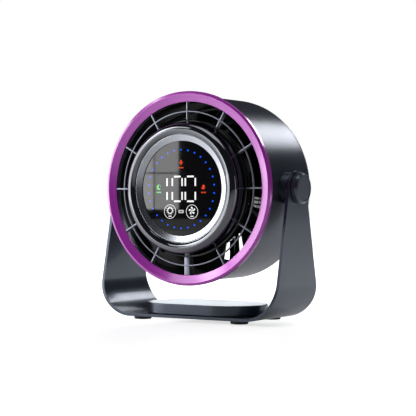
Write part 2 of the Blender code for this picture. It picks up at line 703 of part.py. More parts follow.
def ring_of_screws(name, angles, radius, profile, material, head):
    for number, angle in enumerate(angles, 1):
        across, up = radius * cos(angle), radius * sin(angle)
        solid(f"{name}_{number}", turned(profile, "Y", SCREW_STEPS), material, head, (across, 0, up))


# ---- display hub


def hub_shell(material, head):
    """The display housing: a fat rounded lip, a neck held by the grille's hoop and a tapering back."""
    inner_angle = asin((RING_OUTER + GAP - LIP_RADIUS) / LIP_ROUND)
    steps = 7
    lip = []
    for i in range(steps + 1):
        angle = inner_angle + (pi / 2 - inner_angle) * i / steps
        lip.append((LIP_RADIUS + LIP_ROUND * sin(angle), LIP_CENTRE - LIP_ROUND * cos(angle)))
    neck_front = SPOKE_FRONT + 0.0009
    waist = HUB_BACK - 0.014
    outer = [
        (HUB_RADIUS - 0.75 * HUB_FLARE, LIP_CENTRE + 0.0025),
        (HUB_RADIUS, LIP_CENTRE + 0.0053),
        (HUB_RADIUS, neck_front - GAP),
        (NECK_RADIUS, neck_front),
        (NECK_RADIUS, waist),
        (NECK_RADIUS - HUB_TAPER, HUB_BACK),
    ]
    inner = [
        (NECK_RADIUS - HUB_TAPER - HUB_WALL, HUB_BACK),
        (NECK_RADIUS - HUB_WALL, waist),
        (NECK_RADIUS - HUB_WALL, LIP_CENTRE + 0.0025),
        (LIP_RADIUS + 0.0017, LIP_CENTRE - 0.0018),
        (LIP_RADIUS - 0.0014, LIP_CENTRE - 0.0015),
        (LIP_RADIUS - 0.0017, SHELF_FRONT + HUB_WALL),
        (SHELF_RADIUS, SHELF_FRONT + HUB_WALL),
        (SHELF_RADIUS, SHELF_FRONT),
        (GLASS_RADIUS + GAP, SHELF_FRONT),
        (GLASS_RADIUS + GAP, GLASS_FRONT),
        (RING_OUTER + GAP, GLASS_FRONT),
    ]
    shell = solid("hub_shell", turned(lip + outer + inner, steps=HUB_STEPS), material, head)
    boss = rod(HUB_BOSS_RADIUS, SHELF_FRONT + HUB_WALL / 2, COVER_FRONT - GAP)
    join(shell, pattern(boss, HUB_SCREW_ANGLES, HUB_SCREW_RADIUS, 10), "screw_bosses")
    pilot = rod(HUB_SCREW_BORE, HUB_BACK - HUB_SCREW_BITE - 0.002, HUB_BACK)
    cut(shell, pattern(pilot, HUB_SCREW_ANGLES, HUB_SCREW_RADIUS), "pilot_holes")
    cut(shell, cable_notch(), "cable_hole")


def hub_cover(material, head):
    """The lid on the back of the hub, with two ribs that cradle the battery cells."""
    disc = rod(COVER_RADIUS, COVER_FRONT, HUB_BACK)
    cover = solid("hub_cover", turned(disc, steps=HUB_STEPS), material, head)
    ribs, beds = bmesh.new(), bmesh.new()
    half_pair = CELL_RADIUS + GAP
    for x in (-0.022, 0.022):
        rib = rectangle(x - 0.001, x + 0.001, -1.8 * half_pair, 1.8 * half_pair)
        extrude_into(ribs, rib, "Y", CELL_CENTRE + 0.002, COVER_FRONT + 0.0005)
    for z in (-half_pair, half_pair):
        bed = turned(rod(CELL_RADIUS + GAP, -0.03, 0.03), "X", 16, across=CELL_CENTRE, up=z)
        add_into(beds, bed)
    join(cover, ribs, "ribs")
    cut(cover, beds, "beds")
    drill = rod(HUB_SCREW_BORE, COVER_FRONT - CUT_OVER, HUB_BACK + CUT_OVER)
    cut(cover, pattern(drill, HUB_SCREW_ANGLES, HUB_SCREW_RADIUS), "screw_holes")


def battery_cells(material, head):
    """Two round cells side by side, each with its raised positive end."""
    end = CELL_LENGTH / 2
    profile = [
        (0, -end),
        (CELL_RADIUS, -end),
        (CELL_RADIUS, end - 0.0008),
        (0.003, end - 0.0008),
        (0.003, end),
        (0, end),
    ]
    half_pair = CELL_RADIUS + GAP
    for row, z in (("upper", half_pair), ("lower", -half_pair)):
        bm = turned(profile, "X", 16)
        solid(f"battery_cell_{row}", bm, material, head, (0, CELL_CENTRE, z))


def display_ring(material, head):
    """The funnel-shaped trim ring that holds the glass down."""
    rear = GLASS_FRONT - GAP
    front = rear - 0.0022
    flat = 0.0009
    profile = [
        (RING_OUTER, rear),
        (RING_OUTER, front),
        (RING_OUTER - flat, front - 0.0001),
        (DISPLAY_RADIUS, rear - 0.0004),
        (DISPLAY_RADIUS, rear),
    ]
    solid("display_ring", turned(profile, steps=HUB_STEPS), material, head)


def display_glass(material, head):
    edge = 0.0004
    back = GLASS_FRONT + GLASS_THICKNESS
    profile = [
        (0, GLASS_FRONT),
        (GLASS_RADIUS - edge, GLASS_FRONT),
        (GLASS_RADIUS, GLASS_FRONT + edge),
        (GLASS_RADIUS, back),
        (0, back),
    ]
    solid("display_glass", turned(profile, steps=HUB_STEPS), material, head)


def light_box(material, head):
    """The white mask behind the glass: a groove for the ring of dots, windows for digits and keys."""
    back = LIGHT_BOX_FRONT + LIGHT_BOX_DEPTH
    radius = SHELF_RADIUS - GAP
    groove = LIGHT_BOX_FRONT + GROOVE_DEPTH
    inner, outer = DOT_RADIUS - GROOVE_WIDTH / 2, DOT_RADIUS + GROOVE_WIDTH / 2
    profile = [
        (0, LIGHT_BOX_FRONT),
        (inner, LIGHT_BOX_FRONT),
        (inner, groove),
        (outer, groove),
        (outer, LIGHT_BOX_FRONT),
        (radius, LIGHT_BOX_FRONT),
        (radius, back),
        (0, back),
    ]
    box = solid("light_box", turned(profile, steps=MID_STEPS), material, head)
    windows = bmesh.new()
    through = LIGHT_BOX_FRONT - CUT_OVER, back + CUT_OVER
    for x, half in DIGITS:
        outline = rectangle(x - half, x + half, -DIGIT_HALF_HEIGHT, DIGIT_HALF_HEIGHT)
        extrude_into(windows, outline, "Y", *through)
    for x in (-KEY_X, KEY_X):
        turn_into(windows, rod(KEY_RADIUS, *through), "Y", 10, x, KEY_Z)
    cut(box, windows, "windows")


def display_board(material, head):
    """The round board with the light-emitting segments and the touch pads, notched for its plug."""
    radius = DISPLAY_RADIUS - 0.0014
    back = BOARD_FRONT + BOARD_THICKNESS
    board = solid("display_board", turned(rod(radius, BOARD_FRONT, back), steps=20), material, head)
    notch = rectangle(-0.005, 0.005, -2 * radius, -(radius - 0.004))
    cut(board, prism(notch, "Y", BOARD_FRONT - 0.001, back + 0.001), "notch")


def ribbon_cable(material, head):
    """The flat lead from the hub, down the duct, back along the barrel wall and up into the pod."""
    t = CABLE_HALF_THICKNESS
    start, end = -(NECK_RADIUS - 0.006), -(POD_RADIUS - POD_WALL - 0.004)
    outer, inner = -(CABLE_RADIUS + t), -(CABLE_RADIUS - t)
    outline = [
        (CABLE_Y - t, start),
        (CABLE_Y - t, outer),
        (CABLE_REAR_Y + t, outer),
        (CABLE_REAR_Y + t, end),
        (CABLE_REAR_Y - t, end),
        (CABLE_REAR_Y - t, inner),
        (CABLE_Y + t, inner),
        (CABLE_Y + t, start),
    ]
    solid("ribbon_cable", prism(outline, "X", -CABLE_HALF_WIDTH, CABLE_HALF_WIDTH), material, head)


# ---- motor, fixed part


def motor_base(material, head):
    """The bearing tube and the flange that screws to the front of the pod."""
    profile = [
        (TUBE_BORE, CAN_FRONT + 0.0021),
        (TUBE_RADIUS, CAN_FRONT + 0.0021),
        (TUBE_RADIUS, FLANGE_FRONT),
        (FLANGE_RADIUS, FLANGE_FRONT),
        (FLANGE_RADIUS, FLANGE_BACK),
        (TUBE_BORE, FLANGE_BACK),
    ]
    base = solid("motor_base", turned(profile, steps=MID_STEPS), material, head)
    drill = rod(MOTOR_SCREW_BORE, FLANGE_FRONT - CUT_OVER, FLANGE_BACK + CUT_OVER)
    cut(base, pattern(drill, MOTOR_SCREW_ANGLES, MOTOR_SCREW_RADIUS), "screw_holes")


def bearings(material, head):
    length = 0.004
    profile = tube(SHAFT_RADIUS + GAP, BEARING_RADIUS, 0, length)
    seats = (("front", CAN_FRONT + 0.0025), ("rear", FLANGE_BACK - length - 0.0005))
    for name, seat in seats:
        solid(f"bearing_{name}", turned(profile, "Y", SMALL_STEPS), material, head, (0, seat, 0))


def stator(material, head):
    """Six laminated poles around the bearing tube."""
    poles, core, neck, shoe_tip = 6, TUBE_RADIUS + GAP + 0.003, 0.0022, radians(25)
    shoe = STATOR_RADIUS - 0.002
    outline = []
    for angle in around(poles):
        low, high = asin(neck / core), asin(neck / shoe)
        stations = [(core, -low), (shoe, -high), (shoe, -shoe_tip), (STATOR_RADIUS, -shoe_tip)]
        stations += [(STATOR_RADIUS, 0), (STATOR_RADIUS, shoe_tip)]
        stations += [(shoe, shoe_tip), (shoe, high), (core, low)]
        outline += [(radius * cos(angle + turn), radius * sin(angle + turn)) for radius, turn in stations]
    front, back = CAN_FRONT + 0.0037, CAN_FRONT + CAN_LENGTH - 0.0015
    core_block = solid("stator_core", prism(outline, "Y", front, back), material, head)
    bore = rod(TUBE_RADIUS + GAP, front - 0.001, back + 0.001)
    cut(core_block, turned(bore, steps=SMALL_STEPS), "bore")


def motor_board(material, head):
    start = FLANGE_FRONT - 0.0026
    profile = tube(TUBE_RADIUS + GAP, STATOR_RADIUS, start, start + BOARD_THICKNESS)
    solid("motor_board", turned(profile, steps=SMALL_STEPS), material, head)


# ---- rotor


def impeller(material, rotor):
    """A cup-shaped hub with seven twisted blades."""
    wall = 0.0018
    plate = IMPELLER_FRONT + 0.0022
    profile = [
        (SHAFT_RADIUS + GAP, IMPELLER_FRONT),
        (IMPELLER_RADIUS - 0.0025, IMPELLER_FRONT),
        (IMPELLER_RADIUS, IMPELLER_FRONT + 0.0025),
        (IMPELLER_RADIUS, IMPELLER_BACK),
        (IMPELLER_RADIUS - wall, IMPELLER_BACK),
        (IMPELLER_RADIUS - wall, plate),
        (SHAFT_RADIUS + GAP, plate),
    ]
    fan = solid("impeller", turned(profile, steps=28), material, rotor)
    join(fan, blades(), "blades")


def blades():
    """Each blade is a thin twisted sheet, swept back towards its tip and rooted in the hub wall."""
    spans, chords = 3, 5
    root = IMPELLER_RADIUS - 0.0009
    front, back = IMPELLER_FRONT + 0.001, IMPELLER_BACK - 0.0015
    bm = bmesh.new()
    for angle in around(BLADES, BLADE_PHASE):
        sides = []
        for hand in (-1, 1):
            rows = []
            for i in range(spans + 1):
                outward = i / spans
                radius = root + (BLADE_TIP - root) * outward
                half = hand * BLADE_THICKNESS / 2 * (1 - 0.3 * outward)
                row = []
                for j in range(chords + 1):
                    along = j / chords
                    turn = angle - BLADE_TURN * (along - 0.5) - radians(10) * outward**2
                    bow = 0.0012 * sin(pi * along)
                    y = front + (back - front) * along + bow
                    shift = half * (0.55 if 0 < j < chords else 0.35)
                    turn += shift / radius
                    row.append(bm.verts.new((radius * cos(turn), y + shift * 1.4, radius * sin(turn))))
                rows.append(row)
            sides.append(rows)
        under, over = sides
        for i in range(spans):
            for j in range(chords):
                quad = (i, j), (i + 1, j), (i + 1, j + 1), (i, j + 1)
                bm.faces.new([under[a][b] for a, b in quad])
                bm.faces.new([over[a][b] for a, b in reversed(quad)])
        edge = [(0, j) for j in range(chords + 1)] + [(i, chords) for i in range(1, spans + 1)]
        edge += [(spans, j) for j in reversed(range(chords))] + [(i, 0) for i in reversed(range(1, spans))]
        for (a, b), (c, d) in zip(edge, edge[1:] + edge[:1]):
            bm.faces.new([under[a][b], under[c][d], over[c][d], over[a][b]])
    return bm


def rotor_parts(steel, magnet, rotor):
    """The steel can and its magnet ring, the shaft, the nut in front and the clip behind."""
    front, back = CAN_FRONT, CAN_FRONT + CAN_LENGTH
    can = [
        (SHAFT_RADIUS + GAP, front),
        (CAN_RADIUS, front),
        (CAN_RADIUS, back),
        (CAN_BORE, back),
        (CAN_BORE, front + 0.0014),
        (SHAFT_RADIUS + GAP, front + 0.0014),
    ]
    solid("rotor_can", turned(can, steps=MID_STEPS), steel, rotor)
    ring = tube(MAGNET_BORE, MAGNET_BORE + MAGNET_THICKNESS, front + 0.0025, back - 0.0005)
    solid("magnet_ring", turned(ring, steps=MID_STEPS), magnet, rotor)
    nut_back = IMPELLER_FRONT - GAP
    shaft = rod(SHAFT_RADIUS, nut_back - 0.0028, POD_FRONT + 0.0012)
    solid("motor_shaft", turned(shaft, steps=SMALL_STEPS), steel, rotor)
    clip = tube(SHAFT_RADIUS + GAP, SHAFT_RADIUS + 0.002, POD_FRONT + 0.0002, POD_FRONT + 0.0008)
    solid("shaft_clip", turned(clip, steps=SMALL_STEPS), steel, rotor)
    corners = [(0.0052 * cos(a), 0.0052 * sin(a)) for a in around(6)]
    nut = solid("impeller_nut", prism(corners, "Y", nut_back - 0.0022, nut_back), steel, rotor)
    cut(nut, turned(rod(SHAFT_RADIUS + GAP, nut_back - 0.003, nut_back + 0.001), steps=SMALL_STEPS), "bore")


def empty(name, parent=None, location=(0, 0, 0)):
    obj = bpy.data.objects.new(name, None)
    bpy.context.scene.collection.objects.link(obj)
    obj.parent = parent
    obj.location = location
    return obj


def main():
    for obj in list(bpy.data.objects):
        bpy.data.objects.remove(obj, do_unlink=True)

    graphite = finish("graphite paint", (0.075, 0.085, 0.11), 0.38, 0.6)
    magenta = finish("magenta anodised", (0.46, 0.06, 0.48), 0.3, 0.7)
    lilac_grey = finish("grille silver", (0.28, 0.31, 0.38), 0.4, 0.5)
    gloss_black = finish("gloss black", (0.01, 0.01, 0.012), 0.12)
    matt_black = finish("matt black", (0.02, 0.02, 0.022), 0.55)
    brushed = finish("brushed aluminium", (0.6, 0.63, 0.68), 0.28, 1.0)
    glass = finish("black display glass", (0.004, 0.004, 0.005), 0.04)
    white = finish("white light mask", (0.75, 0.75, 0.75), 0.6)
    rubber = finish("black rubber", (0.018, 0.018, 0.02), 0.85)
    nylon = finish("black nylon", (0.03, 0.03, 0.033), 0.6)
    steel = finish("steel", (0.5, 0.5, 0.52), 0.32, 1.0)
    brass = finish("brass", (0.72, 0.52, 0.2), 0.32, 1.0)
    magnet = finish("ferrite", (0.05, 0.05, 0.055), 0.6, 0.2)
    green_board = finish("circuit board", (0.02, 0.14, 0.06), 0.45)
    cell_wrap = finish("cell wrap", (0.05, 0.16, 0.42), 0.35)
    slate = finish("slate satin", (0.05, 0.056, 0.072), 0.35, 0.4)

    head = empty("head_pivot", location=(0, 0, TILT_HEIGHT))
    rotor = empty("fan_axis", head)

    stand_bracket(graphite)
    base_weight(graphite)
    base_screws(steel)
    feet(rubber)
    for sign, side in ((-1, "left"), (1, "right")):
        pivot_pieces(sign, side, nylon, rubber, steel, brass, graphite, slate, head)

    barrel_housing(graphite, head)
    front_bezel(magenta, head)
    front_grille(lilac_grey, head)
    rear_grille(gloss_black, head)
    rear_cap(matt_black, head)
    control_board(green_board, head)
    charge_socket(steel, head)
    seat = REAR_BACK - REAR_HEAD_DEPTH + GAP
    shank = REAR_SCREW_BORE - GAP
    rear_screw = screw_profile(REAR_SCREW_HEAD, shank, seat, REAR_BACK - GAP, LEDGE_FRONT + GAP)
    ring_of_screws("rear_screw", REAR_SCREW_ANGLES, REAR_SCREW_RADIUS, rear_screw, steel, head)

    hub_shell(gloss_black, head)
    hub_cover(matt_black, head)
    shank = HUB_SCREW_BORE - GAP
    head_top, tip = HUB_BACK + HUB_SCREW_HEAD_HEIGHT, HUB_BACK - HUB_SCREW_BITE
    hub_screw = screw_profile(HUB_SCREW_HEAD, shank, HUB_BACK + GAP, head_top, tip)
    ring_of_screws("hub_screw", HUB_SCREW_ANGLES, HUB_SCREW_RADIUS, hub_screw, steel, head)
    display_ring(brushed, head)
    display_glass(glass, head)
    light_box(white, head)
    display_board(green_board, head)
    battery_cells(cell_wrap, head)
    ribbon_cable(matt_black, head)

    motor_base(brushed, head)
    bearings(steel, head)
    stator(steel, head)
    motor_board(green_board, head)
    shank, seat = MOTOR_SCREW_BORE - GAP, POD_FRONT + POD_FLOOR + GAP
    head_top = seat + MOTOR_SCREW_HEAD_HEIGHT
    motor_screw = screw_profile(MOTOR_SCREW_HEAD, shank, seat, head_top, FLANGE_FRONT + GAP)
    ring_of_screws("motor_screw", MOTOR_SCREW_ANGLES, MOTOR_SCREW_RADIUS, motor_screw, steel, head)

    impeller(gloss_black, rotor)
    rotor_parts(steel, magnet, rotor)


main()
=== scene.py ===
"""Desk air-circulator fan: the finished looks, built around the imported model.

Metres, +Z up, the front faces -Y. The head is drawn about the tilt axis, at PIVOT.
"""

import json
from math import asin, cos, pi, radians, sin, tan

import bpy
from mathutils import Matrix, Vector


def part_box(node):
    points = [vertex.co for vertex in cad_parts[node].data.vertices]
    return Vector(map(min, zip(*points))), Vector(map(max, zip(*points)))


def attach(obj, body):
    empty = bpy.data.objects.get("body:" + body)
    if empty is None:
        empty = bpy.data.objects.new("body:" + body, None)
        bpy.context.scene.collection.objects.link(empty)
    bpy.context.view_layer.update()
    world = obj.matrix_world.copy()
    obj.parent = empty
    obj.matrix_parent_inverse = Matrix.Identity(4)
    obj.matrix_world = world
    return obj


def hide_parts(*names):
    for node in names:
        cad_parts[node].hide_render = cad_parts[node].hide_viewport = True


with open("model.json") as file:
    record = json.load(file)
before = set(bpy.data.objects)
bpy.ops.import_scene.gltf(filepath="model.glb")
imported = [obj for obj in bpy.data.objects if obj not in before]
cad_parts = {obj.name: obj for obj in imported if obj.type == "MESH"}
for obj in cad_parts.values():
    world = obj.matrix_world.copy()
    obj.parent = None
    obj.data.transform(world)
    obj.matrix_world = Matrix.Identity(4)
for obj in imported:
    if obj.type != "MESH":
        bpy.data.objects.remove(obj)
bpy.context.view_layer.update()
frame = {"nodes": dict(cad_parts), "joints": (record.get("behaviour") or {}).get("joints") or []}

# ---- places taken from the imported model
TILT = next(joint for joint in frame["joints"] if joint["name"] == "head_tilt")
PIVOT = Vector(TILT["pos_m"])
UP = PIVOT.z
BEZEL_LOW, BEZEL_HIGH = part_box("front_bezel")
BARREL_LOW, BARREL_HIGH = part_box("barrel_housing")
HUB_LOW, HUB_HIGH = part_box("hub_shell")
GLASS_LOW, GLASS_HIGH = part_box("display_glass")
RING_LOW, RING_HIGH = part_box("display_ring")
GRILLE_LOW, GRILLE_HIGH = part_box("front_grille")
REAR_LOW, REAR_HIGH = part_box("rear_grille")
CAP_LOW, CAP_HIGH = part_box("rear_cap")
SOCKET_LOW, SOCKET_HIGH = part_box("charge_socket")
ARM_LOW, ARM_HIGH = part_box("stand_bracket")
WEIGHT_LOW, WEIGHT_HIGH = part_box("base_weight")
WASHER_LOW, WASHER_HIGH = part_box("friction_washer_right")
BOLT_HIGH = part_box("pivot_bolt_right")[1]
KNOB_LOW, KNOB_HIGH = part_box("knob_right")
IMPELLER_LOW, IMPELLER_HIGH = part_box("impeller")
CABLE_LOW, CABLE_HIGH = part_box("ribbon_cable")

# ---- sizes of the head
GAP = 0.0003
BEZEL_RADIUS = BEZEL_HIGH.x
BEZEL_FACE = 0.0084
BEZEL_OPENING = BEZEL_RADIUS - BEZEL_FACE
BEZEL_DISH = 0.0019
BEZEL_CHAMFER = 0.002
BEZEL_FALL = 0.0008
BARREL_RADIUS = BEZEL_RADIUS - 0.0032
BARREL_WALL = 0.0022
BARREL_BORE = BARREL_RADIUS - BARREL_WALL
BARREL_ROUND = 0.009
LEDGE_WIDTH = 0.0052
BOSS_RADIUS = 0.0125
BOSS_BORE = 0.0068
BOSS_FACE = BARREL_HIGH.x
SPOKES = 12
SPOKE_WIDTH = 0.0012
DUCT_WIDTH = 0.0048
SPOKE_FRONT = -0.0308
SPOKE_BACK = -0.0264
SPOKE_BEND = 0.0022
RIM_WIDTH = 0.0021
WIRE_WIDTH = 0.0011
WIRE_DEPTH = 0.0018
HUB_RADIUS = HUB_HIGH.x
HUB_CREST = HUB_LOW.y
HUB_BACK = HUB_HIGH.y
NECK_RADIUS = HUB_RADIUS - 0.0013
HUB_WALL = 0.0018
HUB_TAPER = 0.0024
LIP_ROUND = 0.005
LIP_RADIUS = HUB_RADIUS - 0.0016 - LIP_ROUND
LIP_CENTRE = HUB_CREST + LIP_ROUND
RING_OUTER = RING_HIGH.x
DISPLAY_RADIUS = RING_OUTER - 0.0056
GLASS_RADIUS = GLASS_HIGH.x
GLASS_FRONT = GLASS_LOW.y
GLASS_BACK = GLASS_HIGH.y
DOT_RING = DISPLAY_RADIUS - 0.0067
WIRE_RADIUS = (HUB_RADIUS + BEZEL_OPENING) / 2
HOOP_INNER = NECK_RADIUS + GAP
HOOP_WIDTH = 0.0022
SLOTS = 48
SLOT_BAR = 0.0022
CLOSED_SLOT = 0.007
POD_RADIUS = 0.0342
POD_WALL = 0.0022
REAR_THICKNESS = 0.002
REAR_BACK = REAR_HIGH.y
REAR_FRONT = REAR_BACK - REAR_THICKNESS
REAR_RADIUS = REAR_HIGH.x
SLOT_INNER = POD_RADIUS + 0.0038
SLOT_OUTER = REAR_RADIUS + GAP - LEDGE_WIDTH - 0.0005
SCREW_HEAD = 0.0019
REAR_SCREW_RING = REAR_RADIUS - 0.0006 - SCREW_HEAD - GAP
SOCKET_DROP = UP - (SOCKET_LOW.z + SOCKET_HIGH.z) / 2
BLADES = 7
BLADE_TURN = radians(46)
BLADE_PHASE = radians(12)
BLADE_SWEEP = radians(10)
BLADE_THICKNESS = 0.0015
IMPELLER_RADIUS = 0.036
BLADE_TIP = BARREL_BORE - 0.004

# ---- sizes of the stand
STRAP = 0.0024
BEND = 0.03
ARM_OUTER = ARM_HIGH.x
HALF_DEPTH = ARM_HIGH.y
ARM_TOP = 0.0138
SHOULDER = ARM_LOW.z + 0.017
BUSH_RADIUS = 0.006
BASE_SCREW_X = 0.028
BASE_HOLE = 0.0023

SMOOTH, FINE, COARSE = 192, 64, 32  # steps round a large, a small and a hidden turned piece
AXES = {"X": (1, 0, 0), "Y": (0, 1, 0), "Z": (0, 0, 1)}


# ---- modelling moves


def deselect():
    bpy.ops.object.select_all(action="DESELECT")


def into(obj, mode="VERT"):
    """Opens one piece in edit mode, with nothing of it selected."""
    deselect()
    bpy.context.view_layer.objects.active = obj
    obj.select_set(True)
    bpy.ops.object.mode_set(mode="EDIT")
    bpy.ops.mesh.select_mode(type=mode)
    bpy.ops.mesh.select_all(action="DESELECT")


def leave():
    bpy.ops.object.mode_set(mode="OBJECT")


def drawn(name, points):
    """A line drawn by extruding one vertex from point to point. It is left open in edit mode."""
    deselect()
    bpy.ops.mesh.primitive_plane_add(size=0.001)
    obj = bpy.context.object
    obj.name = obj.data.name = name
    bpy.ops.object.mode_set(mode="EDIT")
    bpy.ops.mesh.select_mode(type="VERT")
    bpy.ops.mesh.select_all(action="SELECT")
    bpy.ops.mesh.merge(type="CENTER")
    bpy.ops.transform.translate(value=points[0])
    for here, there in zip(points, points[1:]):
        step = Vector(there) - Vector(here)
        bpy.ops.mesh.extrude_vertices_move(TRANSFORM_OT_translate={"value": step})
    return obj


def rounded(corners, steps=5, closed=True):
    """The outline through corners (a, b, fillet), each turned into an arc of its own fillet."""
    outline = []
    for i, (a, b, fillet) in enumerate(corners):
        here = Vector((a, b))
        if not fillet:
            outline.append(here)
            continue
        back = (Vector(corners[i - 1][:2]) - here).normalized()
        ahead = (Vector(corners[(i + 1) % len(corners)][:2]) - here).normalized()
        half = back.angle(ahead) / 2
        centre = here + (back + ahead).normalized() * fillet / sin(half)
        start = here + back * fillet / tan(half) - centre
        end = here + ahead * fillet / tan(half) - centre
        turn = start.angle_signed(end)
        for k in range(steps + 1):
            outline.append(centre + Matrix.Rotation(-turn * k / steps, 2) @ start)
    return outline + outline[:1] if closed else outline


def placed(axis, across, along, centre):
    """A profile point, at its radius and its distance along the axis."""
    offset = {"X": (along, 0, across), "Y": (across, along, 0), "Z": (across, 0, along)}[axis]
    return Vector(centre) + Vector(offset)


def turned(name, profile, axis="Y", centre=PIVOT, steps=SMOOTH, smooth=30):
    """A drawn profile of (radius, along) spun about the axis and closed."""
    obj = drawn(name, [placed(axis, radius, along, centre) for radius, along in profile])
    bpy.ops.mesh.select_all(action="SELECT")
    bpy.ops.mesh.spin(steps=steps, angle=2 * pi, center=centre, axis=AXES[axis])
    close_up()
    leave()
    shade(obj, smooth)
    return obj


def section(inner, outer, front, back, fillets, steps):
    """A closed four-cornered section, with its own fillet at each corner."""
    corners = ((inner, front), (outer, front), (outer, back), (inner, back))
    return rounded([(*corner, fillet) for corner, fillet in zip(corners, fillets)], steps)


def close_up():
    """Merges the doubles of the open piece and turns its faces out."""
    bpy.ops.mesh.select_all(action="SELECT")
    bpy.ops.mesh.remove_doubles(threshold=2e-6)
    bpy.ops.mesh.normals_make_consistent(inside=False)


def shade(obj, angle=30):
    deselect()
    bpy.context.view_layer.objects.active = obj
    obj.select_set(True)
    bpy.ops.object.shade_smooth_by_angle(angle=radians(angle))


def plate(name, outline, axis, start, end, centre=(0, 0, 0)):
    """A closed outline of (across, up) filled and extruded square to its plane, from start to end."""
    spread = {
        "X": lambda a, b: (start, a, b),
        "Y": lambda a, b: (a, start, b),
        "Z": lambda a, b: (a, b, start),
    }[axis]
    points = [Vector(centre) + Vector(spread(a, b)) for a, b in outline]
    obj = drawn(name, points)
    bpy.ops.mesh.select_all(action="SELECT")
    bpy.ops.mesh.remove_doubles(threshold=1e-6)
    bpy.ops.mesh.edge_face_add()
    depth = Vector(AXES[axis]) * (end - start)
    bpy.ops.mesh.extrude_region_move(TRANSFORM_OT_translate={"value": depth})
    close_up()
    leave()
    return obj


def block(name, low, high):
    """A cube added in place and stretched to these corners."""
    low, high = Vector(low), Vector(high)
    deselect()
    bpy.ops.mesh.primitive_cube_add(size=1, location=(low + high) / 2)
    obj = bpy.context.object
    obj.name = obj.data.name = name
    obj.scale = high - low
    bpy.ops.object.transform_apply(location=True, rotation=True, scale=True)
    return obj


def modify(obj, kind, **settings):
    """Adds a modifier, sets it and applies it."""
    deselect()
    bpy.context.view_layer.objects.active = obj
    obj.select_set(True)
    modifier = obj.modifiers.new(kind.lower(), kind)
    for key, value in settings.items():
        setattr(modifier, key, value)
    bpy.ops.object.modifier_apply(modifier=modifier.name)
    return obj


def soften(obj, width, segments=3, angle=40):
    """Rounds the sharp edges and keeps the flats flat."""
    modify(
        obj,
        "BEVEL",
        width=width,
        segments=segments,
        limit_method="ANGLE",
        angle_limit=radians(angle),
        use_clamp_overlap=True,
    )
    shade(obj)
    return obj


def level(obj):
    """Leans the shading on the large faces, so that flats stay flat beside their rounded edges."""
    modify(obj, "WEIGHTED_NORMAL", keep_sharp=True, weight=80)
    return obj


def boolean(obj, tool, operation="DIFFERENCE"):
    """Cuts with, or joins on, another piece, which is used up."""
    modify(obj, "BOOLEAN", object=tool, operation=operation, solver="EXACT")
    bpy.data.objects.remove(tool, do_unlink=True)
    return obj


def drill(obj, radius, start, end, axis="Y", centre=PIVOT, steps=COARSE):
    """Bores a round hole along the axis."""
    hole = [(0, start), (radius, start), (radius, end), (0, end)]
    return boolean(obj, turned("drill", hole, axis, centre, steps))


def joined(name, pieces):
    deselect()
    for piece in pieces:
        piece.select_set(True)
    bpy.context.view_layer.objects.active = pieces[0]
    bpy.ops.object.join()
    obj = bpy.context.object
    obj.name = obj.data.name = name
    return obj


def copied(obj, name):
    twin = obj.copy()
    twin.data = obj.data.copy()
    twin.name = twin.data.name = name
    bpy.context.scene.collection.objects.link(twin)
    return twin


def swung(obj, angle, axis="Y", centre=PIVOT):
    """Turns the piece's mesh about an axis through the centre."""
    there, back = Matrix.Translation(centre), Matrix.Translation(-Vector(centre))
    obj.data.transform(there @ Matrix.Rotation(angle, 4, axis) @ back)
    return obj


def ring_of(obj, name, angles, axis="Y", centre=PIVOT):
    """The piece copied round the axis to each of these angles, joined as one."""
    copies = [swung(copied(obj, f"{name}_{i}"), angle, axis, centre) for i, angle in enumerate(angles)]
    bpy.data.objects.remove(obj, do_unlink=True)
    return joined(name, copies)


def ready(obj, body, finish, *nodes, slot=None):
    """Gives the piece its finish, its body, and the plain nodes that it stands for."""
    obj.data.materials.clear()
    obj.data.materials.append(finish)
    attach(obj, body)
    if nodes:
        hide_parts(*nodes)
    return obj


# ---- finishes


def new_finish(name, colour, roughness, metallic=0.0, **sockets):
    """A principled material; further sockets are set by their names with spaces for underscores."""
    material = bpy.data.materials.new(name)
    material.use_nodes = True
    shader = material.node_tree.nodes["Principled BSDF"]
    shader.inputs["Base Color"].default_value = (*colour, 1)
    shader.inputs["Roughness"].default_value = roughness
    shader.inputs["Metallic"].default_value = metallic
    for key, value in sockets.items():
        shader.inputs[key.replace("_", " ")].default_value = value
    return material


def node_of(material, kind, **settings):
    node = material.node_tree.nodes.new(kind)
    for key, value in settings.items():
        setattr(node, key, value)
    return node


def link(material, source, target):
    material.node_tree.links.new(source, target)


def object_points(material, centre=(0, 0, 0), scale=(1, 1, 1), turn=(0, 0, 0)):
    """Object coordinates, moved so that the centre is 0, then turned and stretched."""
    where = node_of(material, "ShaderNodeTexCoord").outputs["Object"]
    shifted = node_of(material, "ShaderNodeVectorMath", operation="SUBTRACT")
    shifted.inputs[1].default_value = centre
    link(material, where, shifted.inputs[0])
    mapping = node_of(material, "ShaderNodeMapping")
    mapping.inputs["Rotation"].default_value = turn
    mapping.inputs["Scale"].default_value = scale
    link(material, shifted.outputs[0], mapping.inputs["Vector"])
    return mapping.outputs["Vector"]


def speckle(material, points, scale, detail=3.0, rough=0.55):
    """Noise with features of about 1 / scale metres."""
    noise = node_of(material, "ShaderNodeTexNoise")
    noise.inputs["Scale"].default_value = scale
    noise.inputs["Detail"].default_value = detail
    noise.inputs["Roughness"].default_value = rough
    link(material, points, noise.inputs["Vector"])
    return noise.outputs["Fac"]


def distance_from_axis(material, axis):
    """How far a point lies from the axis through the pivot."""
    flat = {"X": (0, 1, 1), "Y": (1, 0, 1), "Z": (1, 1, 0)}[axis]
    points = object_points(material, PIVOT, flat)
    length = node_of(material, "ShaderNodeVectorMath", operation="LENGTH")
    link(material, points, length.inputs[0])
    return length.outputs["Value"]


